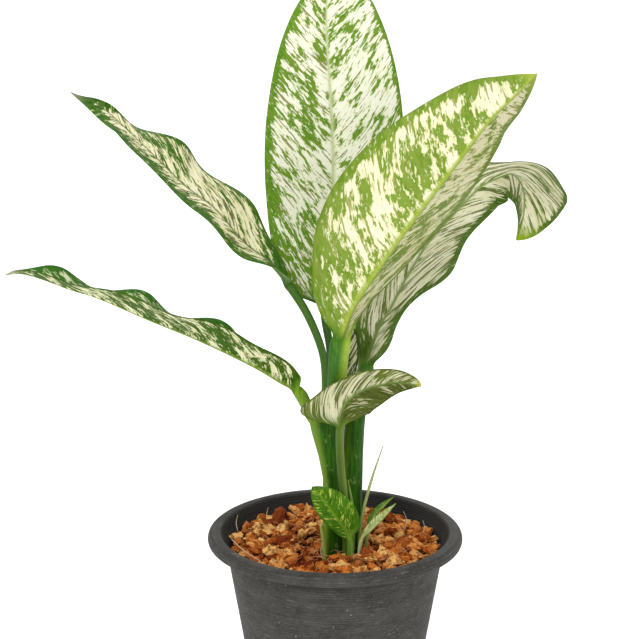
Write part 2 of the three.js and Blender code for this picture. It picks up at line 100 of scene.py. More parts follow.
class Shader:
    """A material with one Principled shader, and short calls for the nodes that feed it."""

    def __init__(self, name, roughness=0.5, specular=0.5):
        self.material = bpy.data.materials.new(name)
        self.material.use_nodes = True
        self.tree = self.material.node_tree
        self.surface = self.tree.nodes["Principled BSDF"]
        self.surface.inputs["Roughness"].default_value = roughness
        self.surface.inputs["Specular IOR Level"].default_value = specular

    def put(self, value, socket):
        """Feed a socket with a node's output, a plain value, or a tone as it looks in the studio light."""
        if isinstance(value, bpy.types.NodeSocket):
            self.tree.links.new(value, socket)
        elif socket.type == "RGBA" and len(value) == 3:
            socket.default_value = linear(*value)
        else:
            socket.default_value = value

    def node(self, kind, inputs, **settings):
        """A new node with its settings and inputs."""
        node = self.tree.nodes.new("ShaderNode" + kind)
        for key, value in settings.items():
            setattr(node, key, value)
        for key, value in inputs.items():
            self.put(value, node.inputs[key])
        return node

    def attribute(self, name, output="Fac"):
        return self.node("Attribute", {}, attribute_name=name).outputs[output]

    def place(self):
        return self.node("TexCoord", {}).outputs["Object"]

    def times(self, vector, factors, offset=(0, 0, 0)):
        inputs = {0: vector, 1: factors, 2: offset}
        return self.node("VectorMath", inputs, operation="MULTIPLY_ADD").outputs[0]

    def split(self, vector, axis):
        return self.node("SeparateXYZ", {0: vector}).outputs[axis]

    def noise(self, vector, factors, detail=2.0, rough=0.5, warp=0.0, offset=(0, 0, 0)):
        place = self.times(vector, factors, offset)
        inputs = dict(Vector=place, Scale=1.0, Detail=detail, Roughness=rough, Distortion=warp)
        return self.node("TexNoise", inputs).outputs["Fac"]

    def math(self, kind, a, b=0.0, c=0.0):
        return self.node("Math", {0: a, 1: b, 2: c}, operation=kind).outputs[0]

    def wave(self, value, spacing):
        """A sine from -1 to 1 that repeats after each spacing."""
        return self.math("SINE", self.math("MULTIPLY", value, 2 * math.pi / spacing))

    def total(self, *terms):
        """Sum of (value, factor) pairs."""
        result = 0.0
        for value, factor in terms:
            result = self.math("MULTIPLY_ADD", value, factor, result)
        return result

    def step(self, value, low, high):
        inputs = {"Value": value, "From Min": low, "From Max": high}
        return self.node("MapRange", inputs, interpolation_type="SMOOTHSTEP").outputs["Result"]

    def mix(self, share, a, b, kind="MIX"):
        return self.node("Mix", {0: share, 6: a, 7: b}, data_type="RGBA", blend_type=kind).outputs[2]

    def lay(self, colour, tone, share, amount):
        """A colour with a tone laid over it, as far as the share times the amount says."""
        return self.mix(self.math("MULTIPLY", share, amount), colour, tone)

    def bump(self, height, distance, strength=0.5):
        return self.node("Bump", dict(Height=height, Distance=distance, Strength=strength)).outputs[0]

    def finish(self, colour, normal=None, roughness=None):
        self.put(colour, self.surface.inputs["Base Color"])
        if roughness is not None:
            self.put(roughness, self.surface.inputs["Roughness"])
        if normal is not None:
            self.put(normal, self.surface.inputs["Normal"])
        return self.material


def floor_material():
    shader = Shader("floor", roughness=0.9, specular=0.1)
    speck = shader.noise(shader.place(), (3, 3, 3))
    shader.surface.inputs["Emission Color"].default_value = (1, 1, 1, 1)
    shader.surface.inputs["Emission Strength"].default_value = 0.35
    return shader.finish(shader.mix(speck, (0.88, 0.88, 0.88, 1), (0.92, 0.92, 0.92, 1)))


# Floor
FLOOR_HALF = 30.0
FLOOR_CORNERS = [(-1, -1), (1, -1), (1, 1), (-1, 1)]


def mesh_object(name, vertices, faces):
    mesh = bpy.data.meshes.new(name)
    mesh.from_pydata(vertices, [], [tuple(f) for f in faces])
    return add_object(name, mesh)


floor = mesh_object("floor", [(FLOOR_HALF * x, FLOOR_HALF * y, 0) for x, y in FLOOR_CORNERS], [(0, 1, 2, 3)])
floor.data.materials.append(floor_material())


def add_piece(name, vertices, faces, materials, nodes, face_slots=None, attributes=None, smooth=True):
    """A mesh given in millimetres, which rides on the part's one body and takes the place of CAD nodes."""
    piece = mesh_object(name, (np.asarray(vertices) * MM).tolist(), faces)
    mesh = piece.data
    for material in materials:
        mesh.materials.append(material)
    mesh.polygons.foreach_set("use_smooth", [smooth] * len(mesh.polygons))
    if face_slots is not None:
        mesh.polygons.foreach_set("material_index", face_slots)
    for label, values in (attributes or {}).items():
        kind = "FLOAT_VECTOR" if np.ndim(values) == 2 else "FLOAT"
        layer = mesh.attributes.new(label, kind, "POINT")
        layer.data.foreach_set("vector" if kind == "FLOAT_VECTOR" else "value", np.ravel(values))
    mesh.update()
    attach(piece, "root")
    if nodes:
        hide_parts(*nodes)
    return piece


def smooth_step(x):
    c = np.clip(x, 0, 1)
    return c * c * (3 - 2 * c)


def columns_at(x, spots, rows):
    """Each column of a table, read off at x between the spots that its rows belong to."""
    return np.stack([np.interp(x, spots, column) for column in rows.T], -1)


def along(keys, t):
    """Value at share t of a list of evenly spaced keys."""
    keys = np.asarray(keys, float)
    spots = np.linspace(0, 1, len(keys))
    return np.interp(t, spots, keys) if keys.ndim == 1 else columns_at(t, spots, keys)


def soft_along(keys, t):
    """The same, with the bends at the keys rounded off."""
    spread = (-0.045, -0.03, -0.015, 0, 0.015, 0.03, 0.045)
    return sum(along(keys, np.clip(t + shift, 0, 1)) for shift in spread) / len(spread)


def unit(vectors):
    return vectors / np.linalg.norm(vectors, axis=-1, keepdims=True)


def turns(sides):
    """Evenly spaced angles round a circle."""
    return 2 * np.pi * np.arange(sides) / sides


def polar(radius, turn):
    return radius * math.cos(turn), radius * math.sin(turn)


def lathe(rings, sides):
    """Points round the Z axis, one ring of them for each pair of radius and height."""
    return [(*polar(r, a), z) for r, z in rings for a in turns(sides)]


def ring_quads(rows, columns, start=0):
    """Faces that join rings of points, each ring to the next."""
    return [
        (start + i * columns + j, start + i * columns + (j + 1) % columns,
         start + (i + 1) * columns + (j + 1) % columns, start + (i + 1) * columns + j)
        for i in range(rows - 1) for j in range(columns)
    ]


def tube_faces(rows, columns, start=0):
    """The same, with a cap over the first ring and one over the last."""
    last = start + (rows - 1) * columns
    caps = [tuple(range(start + columns - 1, start - 1, -1)), tuple(range(last, last + columns))]
    return ring_quads(rows, columns, start) + caps


class Path:
    """A smooth curve through points, with even steps along its length."""

    PER_SPAN = 40
    TANGENT_REACH = 0.6

    def __init__(self, points):
        p = np.asarray(points, float)
        p = np.vstack([2 * p[0] - p[1], p, 2 * p[-1] - p[-2]])
        u = np.linspace(0, 1, self.PER_SPAN, endpoint=False)[:, None]
        spans = []
        for a, b, c, d in zip(p[:-3], p[1:-2], p[2:-1], p[3:]):
            m, n = (c - a) / 2, (d - b) / 2
            spans.append(b + m * u + (3 * (c - b) - 2 * m - n) * u ** 2 + (2 * (b - c) + m + n) * u ** 3)
        self.points = np.vstack(spans + [p[-2:-1]])
        self.lengths = np.concatenate([[0], np.cumsum(np.linalg.norm(np.diff(self.points, axis=0), axis=1))])
        self.total = self.lengths[-1]

    def at(self, distance):
        return columns_at(distance, self.lengths, self.points)

    def tangent(self, distance):
        ahead = self.at(np.minimum(distance + self.TANGENT_REACH, self.total))
        behind = self.at(np.maximum(distance - self.TANGENT_REACH, 0))
        return unit(ahead - behind)


# What a leaf has unless its own values below say otherwise. slant: how far a side vein runs towards the tip
# for each millimetre out, at the midrib and as it nears the margin. rib_colour: how wide the midrib's colour
# is. trim: factors on the half-widths from the blade's start to its tip. wave: height of the margin's waves
# on each side, their number, and where each side starts.
USUAL_LEAF = dict(flat=1, slant=(0.9, 0.3), rib_colour=0.8, trim=[(1, 1), (1, 1)], wave=(0, 0, 1, 0, 0))

# Leaves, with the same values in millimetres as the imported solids.
# path: points from the petiole's foot to the tip, the blade starting at point number base. radius: petiole
# at foot and blade, midrib at the blade's start and tip. flat: how much wider than deep the petiole is.
# width: largest half-widths. shape: share of the length where a side is widest, and how blunt it is towards
# its base and tip. face: where the upper face looks to. fold: how steeply each side rises, in degrees.
# Pairs give the side left of the midrib, then right of it, on the upper face.
LEAVES = [
    dict(
        name="leaf_back_tall",
        path=[
            (-3.5, 12, 196), (-2, 18, 214), (-3.2, 28, 239), (-6.8, 37, 264), (-4.5, 48, 298),
            (-1, 56, 338), (-2, 60, 383), (-5, 63, 428), (-5, 63, 453), (-3, 61, 473),
        ],
        base=3, radius=(2.2, 2.6, 1.8, 0.5), width=(44, 45), shape=((0.42, 0.36, 0.82), (0.5, 0.42, 0.4)),
        face=[(0.05, -1, 0.1), (0, -1, 0.1), (-0.1, -1, 0.1)], fold=[(25, 25), (12, 12), (10, 10), (8, 8)],
        wave=(1.2, 1.2, 3, 0, 2),
    ),
    dict(
        name="leaf_front_right",
        path=[
            (0, -3.5, 196), (0.4, -6, 214), (1.4, -9.5, 238), (3.4, -13.5, 256), (10, -19, 276),
            (21, -25, 296), (37, -33, 322), (54, -38, 347), (71, -38, 370), (88, -34, 392), (103, -28, 406),
            (116, -22, 418),
        ],
        base=3, radius=(3.2, 4.3, 2.4, 0.5), flat=1.5, width=(52, 50),
        shape=((0.4, 0.5, 0.72), (0.42, 0.6, 0.95)), face=[(0.1, 1, 0), (0.1, 1, 0), (0.1, 1, 0.1)],
        fold=[(74, 25), (70, 10), (66, 5), (62, 5), (50, 5)], slant=(0.35, 0.45), rib_colour=1.25,
        wave=(1, 1.5, 2.5, 1, 2),
    ),
    dict(
        name="leaf_right_drooping",
        path=[
            (14, 10, 200), (16, 14, 212), (19, 20, 229), (22, 24, 238), (27, 30, 251), (36, 38, 265),
            (46, 44, 283), (60, 50, 304), (74, 54, 319), (91, 55, 337), (102, 51, 344), (109, 43, 348),
            (113, 33, 346), (115, 24, 341), (115, 17, 332), (113, 12, 322), (110, 9, 313),
        ],
        base=2, radius=(2.4, 3.5, 2, 0.5), flat=2, width=(42, 36),
        shape=((0.55, 0.36, 0.65), (0.48, 0.7, 0.5)),
        face=[
            (-0.45, -0.37, 0.73), (-0.45, -0.37, 0.73), (-0.45, -0.37, 0.73), (-0.45, -0.4, 0.75),
            (-0.2, -0.4, 0.9), (0.1, -0.7, 0.7), (0, -0.85, 0.5),
        ],
        fold=[
            (30, 25), (18, 15), (5, 5), (2, 5), (0, 5), (0, 3), (0, 0), (3, -18), (-5, -35), (-31, -52),
            (-30, -70), (-12, -75), (0, -80),
        ],
        slant=(1.5, 0.6), wave=(2.5, 0.8, 4, 0, 0),
        trim=[
            (1, 2.4), (1, 1.2), (1, 0.42), (1, 0.6), (1, 1.24), (1, 0.94), (1, 0.68), (0.95, 0.58),
            (0.62, 0.5), (0.86, 0.5), (1.26, 0.5), (0.96, 0.5), (0.92, 0.5),
        ],
    ),
    dict(
        name="leaf_left_upper",
        path=[
            (-8, 6, 196), (-6.3, 7.5, 214), (-7.5, 9, 240), (-16.5, 9, 265), (-28.5, 8, 285), (-39, 6, 299),
            (-55, 5, 312), (-73, 2, 334), (-91, -1, 349), (-114, -8, 374), (-138, -16, 398.5),
            (-154, -20, 407),
        ],
        base=4, radius=(2.2, 2.6, 1.8, 0.4), width=(32, 38), shape=((0.52, 0.55, 0.85), (0.4, 0.8, 1.9)),
        face=[(0.66, -0.17, 0.74)] * 6 + [(0.45, -0.6, 0.5)],
        fold=[(30, 30), (2, 10), (3, 8), (5, 8), (8, 8)], wave=(0.2, 4.2, 3.2, 0, 2.6),
        trim=[
            (1.7, 0.6), (1.4, 0.8), (1.2, 1), (1, 1), (0.88, 1), (0.78, 1), (0.78, 1), (0.92, 1.05),
            (1.2, 0.9), (1.1, 0.5), (0.6, 0.5),
        ],
    ),
    dict(
        name="leaf_left_lower",
        path=[
            (-12.5, -1.5, 196), (-16, -3, 207), (-22.5, -5, 221), (-34, -8, 229.5), (-52, -12, 241.5),
            (-82, -18, 258), (-111, -24, 272), (-140, -28, 286), (-157, -30, 292), (-174, -32, 299),
            (-186, -32, 302), (-195, -32, 301),
        ],
        base=2, radius=(2.8, 4, 2.2, 0.4), width=(31, 36), shape=((0.4, 0.4, 0.8), (0.45, 0.6, 0.9)),
        face=[(0.4, 0, 1)] * 3, fold=[(56, 0), (42, 8), (32, 6), (28, 2), (25, 16)],
        wave=(1.5, 4.6, 3.5, 0, 1.7),
        trim=[
            (0.7, 1), (0.8, 1), (0.86, 1), (0.9, 1), (1, 0.95), (1, 0.86), (1, 0.86), (1, 0.95), (1, 1),
            (1, 1), (1, 1),
        ],
    ),
    dict(
        name="leaf_front_small",
        path=[
            (7, -8, 100), (7, -9, 124), (5.5, -13, 154), (3.5, -17, 175), (2.6, -22, 192), (2.6, -23, 203),
            (2.8, -23.2, 211), (6.5, -22.8, 219.5), (14, -21, 225.5), (23, -19, 228.5), (37, -17, 230.5),
            (52, -16, 228),
        ],
        base=5, radius=(2.4, 2.5, 1.6, 0.4), width=(14.5, 27), shape=((0.3, 0.6, 1.1), (0.12, 1.5, 0.5)),
        face=[(0.1, 1, 0), (0.1, 1, 0.1), (0.1, 1, -0.1), (0.1, 1, -0.3)],
        fold=[(10, 3), (10, 3), (10, 6), (10, 12), (10, 20)], slant=(1.5, 1.0),
        trim=[
            (1, 1), (1, 1.02), (0.95, 0.74), (0.95, 0.6), (1.05, 0.49), (1.15, 0.46), (1.15, 0.45),
            (1.08, 0.45), (1, 0.44), (1, 0.44), (1, 0.44), (1, 0.46), (1, 0.5),
        ],
    ),
    dict(
        name="leaf_back_hidden",
        path=[
            (9.8, 16, 200), (9.2, 17.5, 208), (7.8, 19, 219), (6.3, 20.5, 230), (5, 22, 241),
            (3.5, 24, 251), (2, 25, 259),
        ],
        base=2, radius=(1.8, 2, 1.4, 0.4), width=(7, 11.5), shape=((0.5, 0.6, 0.8), (0.7, 0.6, 0.8)),
        face=[(0, -1, 0.3)] * 2, fold=[(35, 35), (25, 25)],
    ),
    dict(
        name="leaf_offset",
        path=[
            (9.5, -15.5, 106), (9.5, -15.5, 116), (9, -16, 128), (5, -18.5, 138), (-1, -21, 148),
            (-7.5, -23.5, 158), (-14, -26, 167),
        ],
        base=2, radius=(2, 2.2, 1.3, 0.4), width=(8.5, 13), shape=((0.6, 0.7, 0.6), (0.42, 0.6, 0.8)),
        face=[(0.2, -1, 0.3)] * 2, fold=[(25, 25), (8, 8), (8, 8)], wave=(0.6, 0.8, 2.5, 0, 1),
    ),
    dict(
        name="leaf_narrow_upper",
        path=[
            (19, -4, 108), (20, -4.5, 128), (23, -5, 139), (28, -6, 146), (36, -8, 154),
        ],
        base=1, radius=(1, 1.1, 0.8, 0.4), width=(2.4, 2.4), shape=((0.5, 0.8, 1), (0.5, 0.8, 1)),
        face=[(-0.5, -0.7, 0.5)] * 2, fold=[(20, 20)] * 2,
    ),
    dict(
        name="leaf_narrow_lower",
        path=[
            (14, -12, 106), (16, -13.5, 127), (22, -16, 137), (30, -18, 146), (37, -20, 154),
        ],
        base=1, radius=(1, 1.2, 0.8, 0.4), width=(3, 3), shape=((0.45, 0.8, 1), (0.45, 0.8, 1)),
        face=[(-0.5, -0.7, 0.5)] * 2, fold=[(20, 20)] * 2,
    ),
]

# Steps along a blade and across half of it, where its wider half is above this width and where it isn't
WIDE_LEAF = 14
WIDE_STEPS = (200, 26)
NARROW_STEPS = (60, 9)

# Length over which a round petiole turns into the blade, and over which it narrows to its foot in the sheath
BLEND_LENGTH = 7
FOOT_TAPER = 10
FOOT_SHARE = 0.4

BLADE_HALF_THICKNESS = 0.3
MARGIN_HALF_THICKNESS = 0.12
VEIN_SPACING = 7.5
QUILT_HEIGHT = 0.16

# How deep the midrib lies in the upper face. Then, as multiples of its radius: how far it stands out below,
# the petiole's end, and the least half-width of the blade.
GROOVE_DEPTH = 0.35
RIB_RISE = 0.75
STEM_TO_RIB = 1.6
LEAST_TO_RIB = 1.2

# How much closer together the columns of points are near the midrib
MIDRIB_CROWDING = 1.15

# How far round each half of a petiole reaches, just short of the other half
HALF_ROUND = 0.985


class Midrib:
    """Rows of points from a petiole's foot to the leaf's tip, and what each row needs to know."""

    def __init__(self, leaf, blade_steps):
        path = Path(leaf["path"])
        petiole = path.lengths[leaf["base"] * Path.PER_SPAN]
        self.petiole_rows = max(6, int(petiole / 3))
        share = np.linspace(0, 1, blade_steps + 1)
        eased = 0.5 * share + 0.25 * (1 - np.cos(np.pi * share))
        stem_distance = np.linspace(0, petiole, self.petiole_rows, endpoint=False)
        distance = np.concatenate([stem_distance, petiole + (path.total - petiole) * eased])
        self.t = np.clip((distance - petiole) / (path.total - petiole), 0, 1)
        self.centre = path.at(distance)
        tangent = path.tangent(distance)
        normal = along(leaf["face"], self.t)
        self.normal = unit(normal - (normal * tangent).sum(1, keepdims=True) * tangent)
        self.side = np.cross(tangent, self.normal)
        self.rib = along(leaf["radius"][2:], self.t)
        stem = along(leaf["radius"][:2], distance / petiole)
        stem = np.where(distance < petiole, stem, self.rib * STEM_TO_RIB)
        self.stem = stem * (FOOT_SHARE + (1 - FOOT_SHARE) * smooth_step(distance / FOOT_TAPER))
        self.past_petiole = distance - petiole
        self.blend = smooth_step(self.past_petiole / BLEND_LENGTH)

    def points(self, sideways, upwards):
        """Points at these distances from the midrib, to its right and towards the upper face."""
        across = self.side[:, None] * sideways[..., None]
        return self.centre[:, None] + across + self.normal[:, None] * upwards[..., None]


def outline(t, shape):
    widest, base_bluntness, tip_bluntness = shape
    u = np.where(t < widest, (widest - t) / widest, (t - widest) / (1 - widest))
    return np.clip(1 - u * u, 0, 1) ** np.where(t < widest, base_bluntness, tip_bluntness)


def half_widths(leaf, line):
    """Half-width of each side of the blade at each row."""
    trim = soft_along(leaf["trim"], line.t)
    sides = [outline(line.t, leaf["shape"][k]) * leaf["width"][k] * trim[:, k] for k in (0, 1)]
    return np.stack([np.maximum(side, line.rib * LEAST_TO_RIB) for side in sides], 1)


def leaf_surface(leaf, blade_steps, half_steps):
    """Points of both faces of a leaf, what its markings need to know about each, and its petiole's rows."""
    line = Midrib(leaf, blade_steps)
    t, rib = line.t[:, None], line.rib[:, None]
    s = np.linspace(-1, 1, 2 * half_steps + 1)
    s = np.sign(s) * np.abs(s) ** MIDRIB_CROWDING
    s = np.concatenate([s, s[::-1]])
    upper = np.arange(len(s)) < len(s) // 2
    facing = np.where(upper, 1, -1)
    right = (s >= 0).astype(int)
    sign = np.where(s < 0, -1, 1)
    widths = half_widths(leaf, line)[:, right]
    out = widths * np.abs(s)

    slope_start, slope_gain = leaf["slant"]
    vein_reach = slope_start * out + slope_gain * out ** 2 / max(leaf["width"])
    vein = line.past_petiole[:, None] - vein_reach
    wave_high = np.asarray(leaf["wave"][:2])[right]
    phase = np.asarray(leaf["wave"][3:])[right]
    swing = np.sin(2 * np.pi * leaf["wave"][2] * t + phase) * np.sqrt(np.sin(np.pi * line.t))[:, None]
    quilt = QUILT_HEIGHT * np.cos(2 * np.pi * vein / VEIN_SPACING)
    quilt = quilt * smooth_step(out / 4) * smooth_step((widths - out) / 6)
    lift = wave_high * s ** 2 * swing + quilt

    thicker = BLADE_HALF_THICKNESS - MARGIN_HALF_THICKNESS
    half = MARGIN_HALF_THICKNESS + thicker * smooth_step((widths - out) / 3)
    ridge = np.exp(-(out / (0.9 * rib + 0.3)) ** 2)
    depth = half + np.where(upper, -GROOVE_DEPTH * ridge, ridge * RIB_RISE * rib)
    angle = np.radians(soft_along(leaf["fold"], line.t))[:, right]
    level = np.cos(angle) * (1 - ridge) + ridge
    tilt = np.sin(angle) * (1 - ridge)
    blade = line.points(
        sign * out * np.cos(angle) - facing * depth * sign * tilt,
        out * np.sin(angle) + lift + facing * depth * level,
    )
    turn = (1 - s * HALF_ROUND) * np.pi / 2
    stem = line.stem[:, None]
    petiole = line.points(leaf["flat"] * stem * np.cos(turn), stem * facing * np.sin(turn))
    points = petiole + (blade - petiole) * line.blend[:, None, None]

    rib_colour = np.exp(-(out / (leaf["rib_colour"] * rib + 0.2)) ** 4)
    info = dict(
        t=t, s=s, right=right, out=out, edge=widths - out, vein=vein, rib=rib_colour,
        past_petiole=line.past_petiole[:, None],
    )
    info = {key: np.broadcast_to(value, points.shape[:2]) for key, value in info.items()}
    return points, info, line.petiole_rows


def leaf_slots(rows, columns, petiole_rows):
    """Material of each face of a leaf, its two caps last: 0 upper face, 1 under face, 2 petiole."""
    upper = columns // 2 - 1
    ring = [0] * upper + [1] * (columns - upper)
    return [2] * (petiole_rows * columns) + ring * (rows - 1 - petiole_rows) + [2, 0]


def petiole_colour(shader, tones):
    """Long faint streaks, another green on one side that paints light and shade on the petiole, and the
    height of the streaks.
    """
    place = shader.place()
    long_streak = shader.noise(place, (900, 900, 40), rough=0.6)
    blotch = shader.noise(place, (220, 220, 60))
    # One side of the petiole lighter and the other darker: painted light and shade
    colour = shader.mix(shader.step(shader.attribute("flank"), 0.22, 0.52), tones[0], tones[1])
    colour = shader.lay(colour, tones[2], shader.step(long_streak, 0.52, 0.62), 0.4)
    colour = shader.lay(colour, tones[1], shader.step(blotch, 0.55, 0.7), 0.2)
    return colour, long_streak


def petiole_material(name, tones):
    shader = Shader(name, specular=0.22)
    colour, streaks = petiole_colour(shader, tones)
    return shader.finish(colour, shader.bump(streaks, 0.0002))


# What the dulled places of a blade are multiplied by: partly a duller tone, partly painted shade
DULL_AND_PAINTED_SHADE = (0.6, 0.6, 0.5, 1)

# Spacing of the fine ripples of a blade, in millimetres
RIPPLE_SPACING = 1.9


def blade_material(name, look, seed, petiole_tones):
    """Variegated leaf skin. Its markings run along the side veins, out from the midrib to the margin."""
    shader = Shader(name, specular=look["gloss"])
    vein = shader.attribute("vein", "Vector")

    def run(across, lengthways, detail=2.0, warp=0.0, shift=0.0):
        offset = (seed + shift, seed * 2 + shift, shift)
        return shader.noise(vein, (1 / across, 1 / lengthways, 1), detail, 0.6, warp, offset)

    across, lengthways = look["patch"]
    broad = run(34, 46, detail=1, shift=3)
    patch = run(across, lengthways, detail=3, warp=0.3)
    fleck = run(across * 0.4, lengthways * 0.4, detail=3, warp=0.4, shift=5)
    grain = run(1.7, 2.6, shift=7)
    streak = run(*look["streak"], detail=1.5, warp=look["wavy"], shift=11)
    greenness = shader.attribute("green")
    weights = ((patch, 1.0), (fleck, 0.85), (grain, 0.4), (broad, look["broad"]))
    level = shader.total(*weights, (greenness, 1.0))
    cut = 0.5 * sum(weight for _, weight in weights) + look["cut"]
    green_share = shader.step(level, cut - 0.01, cut + 0.025)
    halo_share = shader.step(level, cut - 0.08, cut - 0.005)
    streak_level = shader.total((streak, 1.0), (grain, 0.25), (broad, -0.2), (greenness, 0.4))
    streak_cut = 0.525 + look["streak_cut"]
    streak_share = shader.step(streak_level, streak_cut, streak_cut + 0.035)
    pale_tone = shader.mix(shader.step(patch, 0.3, 0.62), look["cream"], look["cream_low"])
    green_tone = shader.mix(shader.step(fleck, 0.35, 0.65), look["green"], look["green_low"])
    green_tone = shader.lay(green_tone, look["line"], shader.step(streak, 0.55, 0.7), 0.4)
    colour = shader.lay(pale_tone, look["halo"], halo_share, 0.7)
    colour = shader.lay(colour, look["line"], streak_share, 0.9)
    colour = shader.mix(green_share, colour, green_tone)
    speck = shader.step(run(2.2, 3.4, detail=1, shift=17), 0.64, 0.69)
    colour = shader.lay(colour, look["cream_low"], speck, 0.55)
    colour = shader.mix(shader.attribute("rib"), colour, look["rib"])
    colour = shader.mix(shader.attribute("tip"), colour, look["tip"])
    # Painted shade, partly a duller tone: one side of some blades and the hanging end of one multiplied
    # darker
    colour = shader.mix(shader.attribute("dull_and_shade"), colour, DULL_AND_PAINTED_SHADE, "MULTIPLY")
    colour = shader.mix(shader.attribute("foot"), colour, petiole_colour(shader, petiole_tones)[0])
    ripple = shader.wave(shader.split(vein, 0), RIPPLE_SPACING)
    height = shader.total((ripple, 0.25), (grain, 0.6), (streak, 0.5), (green_share, 0.25))
    roughness = shader.total((grain, 0.25), (0.4, 1.0))
    return shader.finish(colour, shader.bump(height, 0.00025, 0.45), roughness)


# A face's tones in the order in which face() takes them: cream and its darker kind, the halo round green,
# green and its paler kind, the streaks, and the midrib
FACE_TONES = ("cream", "cream_low", "halo", "green", "green_low", "line", "rib")

# Markings of a face unless its look says otherwise. patch and streak: their size across and along the side
# veins, in millimetres. streak_cut: how few streaks there are. wavy: how much they wander. broad: how much
# the share of green varies over the face. gloss: strength of its sheen.
USUAL_FACE = dict(patch=(8, 12), streak=(2, 13), streak_cut=0.1, wavy=0.3, broad=0.4, gloss=0.08)


def face(cut, *tones, tip=None, **markings):
    """Look of one face. cut: how little of it is green. tip: colour of the blade's end, green if left out."""
    look = dict(USUAL_FACE, cut=cut, **markings)
    look.update(zip(FACE_TONES, tones))
    look["tip"] = tip or look["green"]
    return look


# Look of a leaf unless its own below says otherwise. lean: how much more green each side has. foot and
# foot_reach: how much more green each side has at the blade's start, and up to which share of its length.
# dull_and_shade: how far each side is dulled, partly to a duller tone and partly by painted shade.
# hang_shade:
# the share of the length from which the rest is darkened by painted shade, and by how much. margin, which
# each
# leaf gives: width of the green edge on each side, in millimetres.
USUAL_LOOK = dict(lean=(0, 0), foot=(0.12, 0.12), foot_reach=0.16, dull_and_shade=(0, 0), hang_shade=(1, 0))
